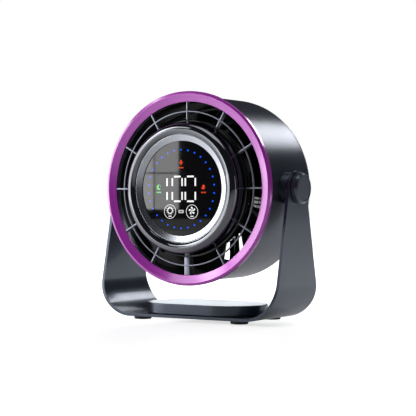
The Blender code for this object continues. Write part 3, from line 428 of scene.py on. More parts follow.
def turning_marks(material, axis, scale, detail):
    """The fine rings that a lathe leaves about the axis."""
    noise = node_of(material, "ShaderNodeTexNoise", noise_dimensions="1D")
    noise.inputs["Scale"].default_value = scale
    noise.inputs["Detail"].default_value = detail
    link(material, distance_from_axis(material, axis), noise.inputs["W"])
    return noise.outputs["Fac"]


def shader_of(material):
    return material.node_tree.nodes["Principled BSDF"]


def ranged(material, value, first, last, low, high):
    """The value's run from first to last, spread from low to high."""
    spread = node_of(material, "ShaderNodeMapRange")
    for name, limit in (("From Min", first), ("From Max", last), ("To Min", low), ("To Max", high)):
        spread.inputs[name].default_value = limit
    link(material, value, spread.inputs["Value"])
    return spread.outputs["Result"]


def vary_roughness(material, pattern, low, high):
    link(material, ranged(material, pattern, 0.3, 0.7, low, high), shader_of(material).inputs["Roughness"])


def vary_colour(material, pattern, first, second):
    ramp = node_of(material, "ShaderNodeValToRGB")
    ramp.color_ramp.elements[0].position = 0.32
    ramp.color_ramp.elements[0].color = (*first, 1)
    ramp.color_ramp.elements[1].position = 0.68
    ramp.color_ramp.elements[1].color = (*second, 1)
    link(material, pattern, ramp.inputs["Fac"])
    link(material, ramp.outputs["Color"], shader_of(material).inputs["Base Color"])


def emboss(material, pattern, depth, strength=1.0):
    bump = node_of(material, "ShaderNodeBump")
    bump.inputs["Strength"].default_value = strength
    bump.inputs["Distance"].default_value = depth
    link(material, pattern, bump.inputs["Height"])
    link(material, bump.outputs["Normal"], shader_of(material).inputs["Normal"])


def grained(name, colour, roughness, metallic, tints, gloss, bumps=None, stretch=(1, 1, 1), **sockets):
    """A finish with fine noise in its colour and roughness, and in its height where it has bumps.

    Each of tints, gloss and bumps starts with the scale and detail of its noise. Two colours, the
    least and most roughness, or the depth and strength follow.
    """
    material = new_finish(name, colour, roughness, metallic, **sockets)
    points = object_points(material, scale=stretch)
    vary_colour(material, speckle(material, points, *tints[:2]), *tints[2:])
    vary_roughness(material, speckle(material, points, *gloss[:2]), *gloss[2:])
    if bumps:
        emboss(material, speckle(material, points, *bumps[:2]), *bumps[2:])
    return material


def lathed(name, colour, roughness, metallic, marks, tints, gloss, bumps=None, **sockets):
    """A finish with the rings of its turning; marks is their axis, scale and detail."""
    material = new_finish(name, colour, roughness, metallic, **sockets)
    rings = turning_marks(material, *marks)
    vary_colour(material, rings, *tints)
    vary_roughness(material, rings, *gloss)
    if bumps:
        emboss(material, rings, *bumps)
    return material


def brushed_aluminium():
    """Straight diagonal brush lines over a bright cone."""
    metal = new_finish("brushed_aluminium", (0.74, 0.77, 0.83), 0.24, 1.0)
    lines = object_points(metal, PIVOT, (2600, 40, 90), (0, radians(38), 0))
    strokes = speckle(metal, lines, 1.0, 4, 0.7)
    vary_colour(metal, strokes, (0.5, 0.525, 0.575), (0.64, 0.665, 0.72))
    vary_roughness(metal, strokes, 0.19, 0.25)
    emboss(metal, strokes, 0.000005, 0.15)
    return metal


def display_black():
    """The smoked display window, with light finger smears."""
    glass = new_finish("display_black", (0.004, 0.004, 0.005), 0.02, IOR=1.52)
    points = object_points(glass)
    vary_roughness(glass, speckle(glass, points, 70, 5, 0.7), 0.012, 0.035)
    vary_colour(glass, speckle(glass, points, 30), (0.003, 0.003, 0.004), (0.005, 0.005, 0.006))
    return glass


def green_board():
    """Solder mask with the paler tracks showing through."""
    board = new_finish("green_board", (0.02, 0.14, 0.06), 0.35)
    tracks = node_of(board, "ShaderNodeTexBrick")
    tracks.inputs["Scale"].default_value = 260
    tracks.inputs["Mortar Size"].default_value = 0.06
    tracks.inputs["Color1"].default_value = (0.015, 0.11, 0.05, 1)
    tracks.inputs["Color2"].default_value = (0.02, 0.14, 0.06, 1)
    tracks.inputs["Mortar"].default_value = (0.05, 0.26, 0.13, 1)
    link(board, object_points(board, turn=(pi / 2, 0, 0)), tracks.inputs["Vector"])
    link(board, tracks.outputs["Color"], shader_of(board).inputs["Base Color"])
    vary_roughness(board, speckle(board, object_points(board), 900), 0.28, 0.42)
    return board


def lamp(name, colour, strength):
    """A lit mark under the display window, a little brighter in its middle than at its edge."""
    lit = new_finish(name, (0.01, 0.01, 0.01), 0.02, Emission_Strength=strength)
    pattern = speckle(lit, object_points(lit), 1500, 1)
    ramp = node_of(lit, "ShaderNodeValToRGB")
    ramp.color_ramp.elements[0].color = (*[0.86 * part for part in colour], 1)
    ramp.color_ramp.elements[1].color = (*colour, 1)
    link(lit, pattern, ramp.inputs["Fac"])
    link(lit, ramp.outputs["Color"], shader_of(lit).inputs["Emission Color"])
    return lit


# satin blue-grey metallic paint, with the finest orange peel
GRAPHITE = grained(
    "graphite_paint",
    (0.1, 0.11, 0.135),
    0.28,
    0.72,
    tints=(9000, 2, (0.08, 0.094, 0.124), (0.1, 0.116, 0.15)),
    gloss=(60, 3, 0.28, 0.31),
    bumps=(1400, 2, 0.00001, 0.08),
    Coat_Weight=0.12,
    Coat_Roughness=0.2,
)
# a bluer paint with more lacquer, on the bent strap, the weight and the caps
STRAP_PAINT = grained(
    "strap_paint",
    (0.12, 0.132, 0.16),
    0.32,
    0.75,
    tints=(9000, 2, (0.082, 0.098, 0.132), (0.104, 0.122, 0.162)),
    gloss=(45, 3, 0.28, 0.35),
    bumps=(1100, 2, 0.00001, 0.08),
    Coat_Weight=0.4,
    Coat_Roughness=0.1,
)
MAGENTA = lathed(
    "magenta_anodised",
    (0.58, 0.043, 0.6),
    0.26,
    0.25,
    marks=("Y", 2600, 1),
    tints=((0.56, 0.04, 0.58), (0.6, 0.046, 0.62)),
    gloss=(0.22, 0.29),
    bumps=(0.000004, 0.05),
    Coat_Weight=1.0,
    Coat_Roughness=0.12,
    Coat_IOR=1.9,
)
SILVER = grained(
    "lilac_silver",
    (0.36, 0.38, 0.46),
    0.34,
    0.7,
    tints=(3000, 2, (0.33, 0.35, 0.43), (0.39, 0.41, 0.49)),
    gloss=(700, 3, 0.28, 0.4),
    bumps=(2500, 2, 0.00001, 0.2),
)
# glossy black plastic with faint wipe marks
GLOSS = grained(
    "piano_black",
    (0.012, 0.012, 0.014),
    0.09,
    0,
    tints=(40, 3, (0.01, 0.01, 0.012), (0.015, 0.015, 0.017)),
    gloss=(120, 5, 0.07, 0.13),
    stretch=(1, 0.25, 1),
    Coat_Weight=1.0,
    Coat_Roughness=0.03,
)
# black nickel over polished metal
CHROME = lathed(
    "dark_chrome",
    (0.2, 0.207, 0.225),
    0.05,
    1,
    marks=("Y", 2200, 1),
    tints=((0.19, 0.197, 0.212), (0.215, 0.222, 0.24)),
    gloss=(0.04, 0.06),
)
BRUSHED, GLASS, BOARD = brushed_aluminium(), display_black(), green_board()
# the spun face of the discs in the tilt caps
SLATE = lathed(
    "slate_satin",
    (0.12, 0.135, 0.165),
    0.38,
    0.6,
    marks=("X", 3500, 4),
    tints=((0.09, 0.104, 0.132), (0.108, 0.124, 0.156)),
    gloss=(0.3, 0.42),
    bumps=(0.00001, 0.25),
)
# fine spark-eroded black plastic
MATT = grained(
    "matt_plastic",
    (0.022, 0.022, 0.024),
    0.55,
    0,
    tints=(500, 3, (0.018, 0.018, 0.02), (0.027, 0.027, 0.029)),
    gloss=(2500, 3, 0.48, 0.62),
    bumps=(3200, 3, 0.00003, 0.5),
)
RUBBER = grained(
    "black_rubber",
    (0.018, 0.018, 0.019),
    0.8,
    0,
    tints=(900, 3, (0.014, 0.014, 0.015), (0.025, 0.025, 0.026)),
    gloss=(1500, 3, 0.7, 0.9),
    bumps=(2200, 4, 0.00005, 0.6),
)
NYLON = grained(
    "black_nylon",
    (0.03, 0.03, 0.033),
    0.6,
    0,
    tints=(700, 3, (0.025, 0.025, 0.028), (0.036, 0.036, 0.039)),
    gloss=(1800, 3, 0.5, 0.68),
)
# zinc-plated, with a little mottling
STEEL = grained(
    "bright_steel",
    (0.55, 0.56, 0.58),
    0.3,
    1,
    tints=(800, 3, (0.48, 0.49, 0.51), (0.62, 0.63, 0.65)),
    gloss=(1600, 3, 0.22, 0.38),
)
BRASS = lathed(
    "turned_brass",
    (0.74, 0.53, 0.2),
    0.3,
    1,
    marks=("X", 4000, 4),
    tints=((0.66, 0.46, 0.16), (0.8, 0.6, 0.26)),
    gloss=(0.24, 0.38),
)
FERRITE = grained(
    "grey_ferrite",
    (0.05, 0.05, 0.055),
    0.6,
    0.2,
    tints=(1500, 3, (0.04, 0.04, 0.044), (0.065, 0.065, 0.07)),
    gloss=(900, 3, 0.5, 0.7),
)
WRAP = grained(
    "cell_wrap",
    (0.05, 0.16, 0.42),
    0.32,
    0,
    tints=(600, 3, (0.04, 0.14, 0.38), (0.06, 0.18, 0.46)),
    gloss=(500, 3, 0.26, 0.4),
    stretch=(0.1, 1, 1),
    Coat_Weight=0.4,
)
MASK = grained(
    "white_mask",
    (0.75, 0.75, 0.75),
    0.6,
    0,
    tints=(800, 3, (0.7, 0.7, 0.7), (0.78, 0.78, 0.78)),
    gloss=(1200, 3, 0.52, 0.66),
)
WHITE_LAMP = lamp("white_lamp", (1.0, 1.0, 1.0), 1.1)
BLUE_LAMP = lamp("blue_lamp", (0.0, 0.1, 1.0), 1.15)
RED_LAMP = lamp("red_lamp", (0.82, 0.06, 0.012), 1.0)
GREEN_LAMP = lamp("green_lamp", (0.18, 0.86, 0.2), 0.9)


# ---- head housing


def bezel():
    """The turned trim ring: a dished face, a chamfer and a skirt over the barrel."""
    front, skirt = BEZEL_LOW.y, BEZEL_HIGH.y
    seat = BARREL_LOW.y - GAP
    corners = [
        (BEZEL_OPENING, front + BEZEL_DISH, 0.00025),
        (BEZEL_RADIUS - BEZEL_CHAMFER, front, 0.0003),
        (BEZEL_RADIUS, front + BEZEL_FALL, 0.0004),
        (BEZEL_RADIUS, skirt, 0.0003),
        (BARREL_RADIUS + GAP, skirt, 0.0002),
        (BARREL_RADIUS + GAP, seat, 0),
        (BEZEL_OPENING, seat, 0.0003),
    ]
    ring = level(turned("bezel", rounded(corners)))
    return ready(ring, "head", MAGENTA, "front_bezel", slot="magenta")


def barrel():
    """The round shell with its rolled back edge, its ledge and a boss for each tilt bolt."""
    back = BARREL_HIGH.y
    opening = BARREL_RADIUS - BARREL_ROUND
    ledge = REAR_FRONT - GAP
    corners = [
        (BARREL_BORE, BARREL_LOW.y, 0.0002),
        (BARREL_RADIUS, BARREL_LOW.y, 0.0002),
        (BARREL_RADIUS, back, BARREL_ROUND - 0.0004),
        (opening, back, 0.0004),
        (opening, ledge, 0),
        (opening - LEDGE_WIDTH, ledge, 0.0002),
        (opening - LEDGE_WIDTH, ledge - 0.002, 0.0002),
        (opening + 0.0004, ledge - 0.002, 0.0004),
        (BARREL_BORE, ledge - 0.0064, 0.0034),
    ]
    shell = turned("barrel", rounded(corners, 8))
    inside = BARREL_BORE - 0.0015
    for sign in (-1, 1):
        face = sign * BOSS_FACE
        boss_corners = [
            (0, sign * inside, 0),
            (BOSS_RADIUS, sign * inside, 0),
            (BOSS_RADIUS, face, 0.0006),
            (0, face, 0),
        ]
        outline = rounded(boss_corners, 4, closed=False)
        boolean(shell, turned("boss", outline, "X", steps=FINE), "UNION")
        drill(shell, BOSS_BORE, sign * (inside - 0.005), face * 1.1, "X")
    shade(shell)
    level(shell)
    ready(shell, "head", GRAPHITE, "barrel_housing", slot="graphite_shell")
    # The inner faces of the bore take the matt black finish: painted shade inside the barrel.
    shell.data.materials.append(MATT)
    for face in shell.data.polygons:
        across = Vector((face.center.x, face.center.z - UP)).length
        if across < BARREL_BORE + 0.0002 and abs(face.normal.y) < 0.9:
            face.material_index = 1
    return shell


# ---- front grille


def spoke(width, back):
    """One bar at 12 o'clock, drawn from the side: out along its front, and back into the hoop."""
    root = HOOP_INNER + HOOP_WIDTH / 2
    tip = BEZEL_OPENING - GAP
    rim = BARREL_BORE - GAP - RIM_WIDTH / 2
    corners = [
        (back, root, 0),
        (SPOKE_FRONT, root, SPOKE_BEND),
        (SPOKE_FRONT, tip, 0.0002),
        (BARREL_LOW.y, tip, 0),
        (BARREL_LOW.y, rim, 0),
        (back, rim, 0),
    ]
    outline = rounded(corners, 6)
    bar = plate("spoke", outline, "X", -width / 2, width / 2, (0, 0, UP))
    return soften(bar, 0.00022, 2)


def grille():
    """Twelve spokes between the rim and the hub hoop, crossed by one round wire."""
    step = 2 * pi / SPOKES
    duct = SPOKES // 2
    bars = ring_of(spoke(SPOKE_WIDTH, SPOKE_BACK), "spokes", [i * step for i in range(SPOKES) if i != duct])
    cable_duct = swung(spoke(DUCT_WIDTH, GRILLE_HIGH.y - 0.0004), pi)
    groove = block(
        "duct_groove",
        (-0.0016, CABLE_LOW.y - GAP, UP - BARREL_BORE + 0.0012),
        (0.0016, GRILLE_HIGH.y + 0.001, UP - NECK_RADIUS + 0.001),
    )
    boolean(cable_duct, groove)
    outer = BARREL_BORE - GAP
    rear = GRILLE_HIGH.y
    rim = turned("rim", section(outer - RIM_WIDTH, outer, BARREL_LOW.y, rear, [0.0003] * 4, 3))
    hoop_front, hoop_outer = SPOKE_FRONT + 0.0012, HOOP_INNER + HOOP_WIDTH
    hoop_fillets = (0.0004, 0.0009, 0.0003, 0.0003)
    hoop = turned("hoop", section(HOOP_INNER, hoop_outer, hoop_front, rear, hoop_fillets, 4))
    near, far = WIRE_RADIUS - WIRE_WIDTH / 2, WIRE_RADIUS + WIRE_WIDTH / 2
    wire = turned("wire", section(near, far, GRILLE_LOW.y, GRILLE_LOW.y + WIRE_DEPTH, [0.0005] * 4, 5))
    guard = joined("grille", [bars, cable_duct, rim, wire])
    ready(guard, "head", SILVER, "front_grille", slot="lilac_silver")
    return ready(hoop, "head", GLOSS, slot="gloss_black")


# ---- display hub


def hub():
    """The fat rounded lip, the neck that the hoop holds and the tapering back."""
    seat_angle = asin((RING_OUTER + GAP - LIP_RADIUS) / LIP_ROUND)
    lip = []
    for i in range(25):
        angle = seat_angle + (pi / 2 - seat_angle) * i / 24
        lip.append((LIP_RADIUS + LIP_ROUND * sin(angle), LIP_CENTRE - LIP_ROUND * cos(angle)))
    flare = [
        (HUB_RADIUS - 0.0012, LIP_CENTRE + 0.0025),
        (HUB_RADIUS - 0.0004, LIP_CENTRE + 0.0040),
        (HUB_RADIUS, LIP_CENTRE + 0.0053),
    ]
    waist = HUB_BACK - 0.014
    neck_front = SPOKE_FRONT + 0.0009
    outside = [
        (HUB_RADIUS, neck_front - GAP),
        (NECK_RADIUS, neck_front),
        (NECK_RADIUS, waist),
        (NECK_RADIUS - HUB_TAPER, HUB_BACK),
    ]
    shelf = GLASS_BACK + GAP
    inside = [
        (NECK_RADIUS - HUB_TAPER - HUB_WALL, HUB_BACK),
        (NECK_RADIUS - HUB_WALL, waist),
        (NECK_RADIUS - HUB_WALL, shelf + HUB_WALL),
        (DISPLAY_RADIUS - 0.0008, shelf + HUB_WALL),
        (DISPLAY_RADIUS - 0.0008, shelf),
        (GLASS_RADIUS + GAP, shelf),
        (GLASS_RADIUS + GAP, GLASS_FRONT),
        (RING_OUTER + GAP, GLASS_FRONT),
    ]
    outline = lip + flare + outside + inside
    shell = turned("hub", outline + outline[:1], smooth=24)
    return ready(shell, "head", CHROME, "hub_shell", slot="gloss_black")


def trim_ring():
    """The brushed funnel round the display, with a thin polished land outside."""
    rear = RING_HIGH.y
    front = RING_LOW.y + 0.0001
    land = 0.0009
    corners = [
        (RING_OUTER, rear, 0),
        (RING_OUTER, front, 0.0002),
        (RING_OUTER - land / 2, front + 0.00035, 0.0001),
        (RING_OUTER - land, front - 0.0001, 0.0002),
        (DISPLAY_RADIUS, rear - 0.0004, 0.0001),
        (DISPLAY_RADIUS, rear, 0),
    ]
    ring = level(turned("trim_ring", rounded(corners, 3), smooth=24))
    return ready(ring, "head", BRUSHED, "display_ring", slot="brushed")


def window():
    """The smoked window, with a ground edge under the trim ring."""
    corners = [
        (0, GLASS_FRONT, 0),
        (GLASS_RADIUS, GLASS_FRONT, 0.0004),
        (GLASS_RADIUS, GLASS_BACK, 0.0002),
        (0, GLASS_BACK, 0),
    ]
    pane = level(turned("window", rounded(corners, 4, closed=False)))
    return ready(pane, "head", GLASS, "display_glass", slot="display_glass")


# ---- marks on the display, each a thin lit plate on the window

MARK_BACK = GLASS_FRONT - 0.00001
MARK_FRONT = GLASS_FRONT - 0.00005
MARKS_LEFT, MARKS_DOWN = 0.00065, 0.0005


def mark(outline, x, z):
    """A lit plate of this outline, centred at (x, z) on the display."""
    return plate("mark", outline, "Y", MARK_FRONT, MARK_BACK, (x - MARKS_LEFT, 0, UP + z - MARKS_DOWN))


def bar(x, z, width, height, corner=0.0002):
    a, b = width / 2, height / 2
    return mark(section(-a, a, -b, b, [corner] * 4, 3), x, z)


def dot(x, z, radius, steps=24):
    points = [(radius * cos(2 * pi * i / steps), radius * sin(2 * pi * i / steps)) for i in range(steps)]
    return mark(points + points[:1], x, z)


def circle_line(x, z, radius, width, steps=72):
    """A thin lit ring."""
    inner, outer = radius - width / 2, radius + width / 2
    profile = [(inner, MARK_FRONT), (outer, MARK_FRONT), (outer, MARK_BACK), (inner, MARK_BACK)]
    return turned("mark", profile + profile[:1], "Y", (x - MARKS_LEFT, 0, UP + z - MARKS_DOWN), steps)


def digits():
    """Three figures of straight segments that read 100."""
    tall, thin, gap = 0.0064, 0.0014, 0.0056
    pieces = []
    for x in (-0.0135, -0.0084, 0.001, 0.0041, 0.0136):
        for z in (gap, -gap + 0.0001):
            pieces.append(bar(x, z, thin, tall))
    for x in (-0.0036, 0.009):
        for z in (0.01, -0.0098):
            pieces.append(bar(x, z, 0.0064, thin))
    return pieces


def key_marks():
    """The two touch keys and the small mark between them."""
    pieces = []
    for x in (-0.0106, 0.0105):
        pieces.append(circle_line(x, -0.0181, 0.0055, 0.00038))
        pieces.append(bar(x, -0.0218, 0.003, 0.0007, 0.0001))
    lamp_x, fan_x, z = -0.0106, 0.0105, -0.0173
    pieces.append(circle_line(lamp_x, z, 0.0023, 0.0007, 48))
    for i in range(12):
        angle = 2 * pi * i / 12
        pieces.append(dot(lamp_x + 0.0033 * cos(angle), z + 0.0033 * sin(angle), 0.00028, 10))
    for i in range(5):
        pieces.append(fan_blade_mark(fan_x, z, pi / 2 + 2 * pi * i / 5))
    pieces.append(dot(fan_x, z, 0.0005, 14))
    pieces.append(circle_line(0, -0.018, 0.0011, 0.00035, 32))
    for sign in (-1, 1):
        sweep = [(sign * 0.0011 * k, 0.0015 - 0.0006 * abs(k - 1)) for k in (0.4, 1.2, 2.2)]
        wing = [(a, b) for a, b in sweep] + [(a, -b) for a, b in reversed(sweep)]
        inner = [(a * 0.86, b * 0.6) for a, b in sweep] + [(a * 0.86, -b * 0.6) for a, b in reversed(sweep)]
        loop = wing[1:5] + inner[4:0:-1]
        pieces.append(mark(loop + loop[:1], 0, -0.018))
    return pieces


def fan_blade_mark(x, z, angle):
    """One swept blade of the fan sign."""
    edge = [(0.0007, -0.1), (0.0018, 0.3), (0.003, 0.42), (0.0032, 0.0), (0.0024, -0.28), (0.0012, -0.5)]
    points = [(r * cos(angle + turn), r * sin(angle + turn)) for r, turn in edge]
    return mark(points + points[:1], x, z)


def person_mark():
    """A standing figure with a line of caption bars below it."""
    body = [
        (-0.0004, 0.0006),
        (0.0004, 0.0006),
        (0.0017, 0.0001),
        (0.0017, -0.0004),
        (0.0008, -0.0008),
        (0.0005, -0.0021),
        (-0.0005, -0.0021),
        (-0.0008, -0.0008),
        (-0.0017, -0.0004),
        (-0.0017, 0.0001),
    ]
    pieces = [dot(0, 0.0226, 0.0008, 18), mark(body + body[:1], 0, 0.0214)]
    return pieces + caption(0, 0.0171, 0.0048)


def caption(x, z, width):
    """A row of four small bars in place of words."""
    step = width / 4
    return [bar(x + (i - 1.5) * step, z, 0.8 * step, 0.00105, 0.0001) for i in range(4)]


def mitten_mark():
    """A rounded hand with its thumb."""
    palm = [(-0.0012, -0.0017, 0.0009), (0.0012, -0.0017, 0.0009)]
    palm += [(0.0014, 0.0019, 0.0011), (-0.001, 0.0019, 0.0009)]
    pieces = [mark(rounded(palm, 4), 0.0213, 0.0014), dot(0.0199, 0.0006, 0.0006, 14)]
    return pieces + caption(0.0214, -0.0028, 0.0046)


def moon_mark():
    """A crescent with a small star dot."""
    steps = 20
    outer, shift = 0.0022, 0.0011
    points = []
    for i in range(steps + 1):
        angle = radians(75) + radians(230) * i / steps
        points.append((outer * cos(angle), outer * sin(angle)))
    inner = 0.0016
    for i in range(steps + 1):
        angle = radians(285) - radians(210) * i / steps
        points.append((shift + inner * cos(angle), shift * 0.4 + inner * sin(angle)))
    pieces = [mark(points + points[:1], -0.0214, 0.0015), dot(-0.0201, 0.0025, 0.0004, 10)]
    return pieces + caption(-0.0216, -0.0026, 0.0046)


def display_marks():
    """All that is lit on the display, one piece for each colour."""
    dots = []
    for i in range(30):
        angle = pi / 2 + 2 * pi * i / 30
        dots.append(dot(DOT_RING * cos(angle), DOT_RING * sin(angle), 0.00077))
    ready(joined("marks_blue", dots), "head", BLUE_LAMP, slot="white_mask")
    ready(joined("marks_white", digits() + key_marks()), "head", WHITE_LAMP, slot="white_mask")
    ready(joined("marks_red", person_mark() + mitten_mark()), "head", RED_LAMP, slot="white_mask")
    ready(joined("marks_green", moon_mark()), "head", GREEN_LAMP, slot="white_mask")


# ---- back of the head


def rear_grille():
    """The slotted disc and the pod in its middle, seen from behind and through the front."""
    floor = REAR_LOW.y + POD_WALL
    bar_low, bar_high = SLOT_INNER - 0.001, SLOT_OUTER + 0.001
    fillets = (0.0003, 0.0003, 0.0005, 0.0005)
    rib = section(-SLOT_BAR / 2, SLOT_BAR / 2, REAR_FRONT, REAR_BACK, fillets, 2)
    rib = plate("slot_bar", rib, "Z", UP + bar_low, UP + bar_high)
    offset = pi / SLOTS
    bars = ring_of(rib, "slot_bars", [offset + 2 * pi * i / SLOTS for i in range(SLOTS)])
    fillets = (0.0003, 0.0003, 0.0003, 0.0005)
    outer = turned("rear_rim", section(SLOT_OUTER, REAR_RADIUS, REAR_FRONT, REAR_BACK, fillets, 3))
    screws = []
    for angle in (radians(45), radians(135), radians(225), radians(315)):
        screws.append(PIVOT + REAR_SCREW_RING * Vector((cos(angle), 0, sin(angle))))
    for where in screws:
        drill(outer, SCREW_HEAD + GAP, REAR_BACK - 0.0014, REAR_BACK + 0.001, centre=where)
    pod_corners = [
        (SLOT_INNER, REAR_FRONT, 0.0003),
        (SLOT_INNER, REAR_BACK, 0.0005),
        (POD_RADIUS - POD_WALL, REAR_BACK, 0.0004),
        (POD_RADIUS - POD_WALL, floor, 0.0004),
        (0.009, floor, 0.0003),
        (0.009, REAR_LOW.y, 0.0003),
        (POD_RADIUS, REAR_LOW.y, 0.0012),
        (POD_RADIUS, REAR_FRONT, 0.0008),
    ]
    pod = turned("pod", rounded(pod_corners, 4))
    duct = block(
        "cable_rib",
        (-DUCT_WIDTH / 2, CABLE_HIGH.y + GAP, UP - SLOT_OUTER - 0.0005),
        (DUCT_WIDTH / 2, REAR_FRONT + 0.0005, UP - POD_RADIUS + 0.001),
    )
    outline = section(-CLOSED_SLOT / 2, CLOSED_SLOT / 2, -SLOT_OUTER - 0.0005, -SLOT_INNER, [0] * 4, 1)
    lid = plate("closed_slot", outline, "Y", REAR_FRONT, REAR_BACK - 0.0001, (0, 0, UP))
    disc = joined("rear_guard", [outer, pod, bars, duct, lid])
    shade(disc)
    level(disc)
    ready(disc, "head", GLOSS, "rear_grille", slot="gloss_black")
    for number, where in enumerate(screws, 1):
        screw = cross_screw(f"guard_screw_{number}", where, SCREW_HEAD, REAR_BACK - GAP, 1)
        ready(screw, "head", STEEL, f"rear_screw_{number}", slot="steel")


def cross_screw(name, where, radius, face, sign, axis="Y", shank=0.0012, head=0.001, length=0.0034):
    """A pan-head screw with a cross recess; sign says which way the head faces."""
    where = Vector(where)
    seat = face - sign * head
    corners = [
        (0, face, 0),
        (radius * 0.7, face, 0.0003),
        (radius, face - sign * 0.0004, 0.0003),
        (radius, seat, 0),
        (shank, seat, 0),
        (shank, seat - sign * length, 0.0002),
        (0, seat - sign * length, 0),
    ]
    screw = turned(name, rounded(corners, 3, closed=False), axis, where, 40)
    wide, thin, deep = radius * 0.55, radius * 0.14, 0.0006
    for across, up in ((wide, thin), (thin, wide)):
        reach = {"Y": (across, 0, up), "Z": (across, up, 0)}[axis]
        low = where - Vector(reach)
        high = where + Vector(reach)
        along = "XYZ".index(axis)
        low[along] = min(face - sign * deep, face + sign * 0.001)
        high[along] = max(face - sign * deep, face + sign * 0.001)
        boolean(screw, block("slot", low, high))
    shade(screw)
    return screw


def rear_lid():
    """The snap-in lid of the pod, with a stepped edge and the way in for the charging plug."""
    radius = CAP_HIGH.x
    face = CAP_HIGH.y
    inside = face - 0.0015
    corners = [
        (0, inside, 0),
        (radius - 0.0015, inside, 0),
        (radius - 0.0015, CAP_LOW.y, 0),
        (radius, CAP_LOW.y, 0),
        (radius, face, 0.0004),
        (radius - 0.0022, face, 0.0002),
        (radius - 0.0026, face - 0.0004, 0.0002),
        (0, face - 0.0004, 0),
    ]
    lid = turned("rear_lid", rounded(corners, 3, closed=False))
    slot = stadium(0.0095, 0.0038, 8)
    mouth = plate("mouth", slot, "Y", inside - 0.002, face + 0.001, (0, 0, UP - SOCKET_DROP))
    boolean(lid, mouth)
    way = block(
        "cable_way",
        (-0.0016, CAP_LOW.y - 0.001, UP - POD_RADIUS - 0.001),
        (0.0016, CABLE_HIGH.y + GAP, UP - POD_RADIUS + POD_WALL + 0.006),
    )
    boolean(lid, way)
    shade(lid)
    level(lid)
    return ready(lid, "head", MATT, "rear_cap", slot="matt_black")


def stadium(length, depth, steps):
    """A closed outline with straight sides and half-round ends."""
    middle = (length - depth) / 2
    right = []
    for i in range(steps + 1):
        angle = pi * i / steps
        right.append((middle + depth / 2 * sin(angle), -depth / 2 * cos(angle)))
    left = [(-a, -b) for a, b in right]
    return right + left + right[:1]


def charging_socket():
    """The rolled steel shell of the socket, with its tongue."""
    start, end = SOCKET_LOW.y, SOCKET_HIGH.y
    centre = (0, 0, UP - SOCKET_DROP)
    shell = plate("charging_socket", stadium(0.0089, 0.0032, 10), "Y", start, end, centre)
    hollow = plate("hollow", stadium(0.0082, 0.0025, 10), "Y", end - 0.006, end + 0.001, centre)
    boolean(shell, hollow)
    soften(shell, 0.0001, 2)
    tongue = block(
        "tongue",
        (-0.0033, end - 0.0065, centre[2] - 0.00035),
        (0.0033, end - 0.001, centre[2] + 0.00035),
    )
    ready(soften(tongue, 0.0001, 2), "head", MATT, slot="matt_black")
    return ready(shell, "head", STEEL, "charge_socket", slot="steel")


# ---- impeller


def impeller():
    """A cup with seven swept, twisted blades."""
    front, back = IMPELLER_LOW.y, IMPELLER_HIGH.y
    wall, bore = 0.0018, 0.0025
    plate_back = front + 0.0022
    corners = [
        (bore, front, 0.0002),
        (IMPELLER_RADIUS, front, 0.0025),
        (IMPELLER_RADIUS, back, 0.0004),
        (IMPELLER_RADIUS - wall, back, 0.0003),
        (IMPELLER_RADIUS - wall, plate_back, 0.0008),
        (bore, plate_back, 0.0002),
    ]
    cup = turned("cup", rounded(corners, 5), steps=96)
    wings = ring_of(blade(), "blades", [-(BLADE_PHASE + 2 * pi * i / BLADES) for i in range(BLADES)])
    fan = joined("impeller_moulding", [cup, wings])
    shade(fan, 40)
    return ready(fan, "rotor", GLOSS, "impeller", slot="gloss_black")


def blade():
    """One blade: its root line is drawn, then drawn out to the tip in steps that grow and sweep it."""
    front, back = IMPELLER_LOW.y + 0.0013, IMPELLER_HIGH.y - 0.0018
    root = IMPELLER_RADIUS - 0.0009
    chord, spans = 14, 10
    points = []
    for j in range(chord + 1):
        along = j / chord
        turn = BLADE_TURN * (along - 0.5)
        y = front + (back - front) * along + 0.0012 * sin(pi * along)
        points.append((root * cos(turn), y, UP - root * sin(turn)))
    wing = drawn("blade", points)
    bpy.ops.mesh.select_all(action="SELECT")
    for i in range(spans):
        near = root + (BLADE_TIP - root) * i / spans
        far = root + (BLADE_TIP - root) * (i + 1) / spans
        sweep = BLADE_SWEEP * ((i + 1) ** 2 - i**2) / spans**2
        bpy.ops.mesh.extrude_edges_move(TRANSFORM_OT_translate={"value": (0, 0, 0)})
        bpy.ops.transform.resize(value=(far / near, 1, far / near), center_override=PIVOT)
        bpy.ops.transform.rotate(value=-sweep, orient_axis="Y", center_override=PIVOT)
    close_up()
    leave()
    modify(wing, "SOLIDIFY", thickness=BLADE_THICKNESS * 0.8, offset=0)
    return soften(wing, 0.0004, 2, 50)


# ---- tilt joint


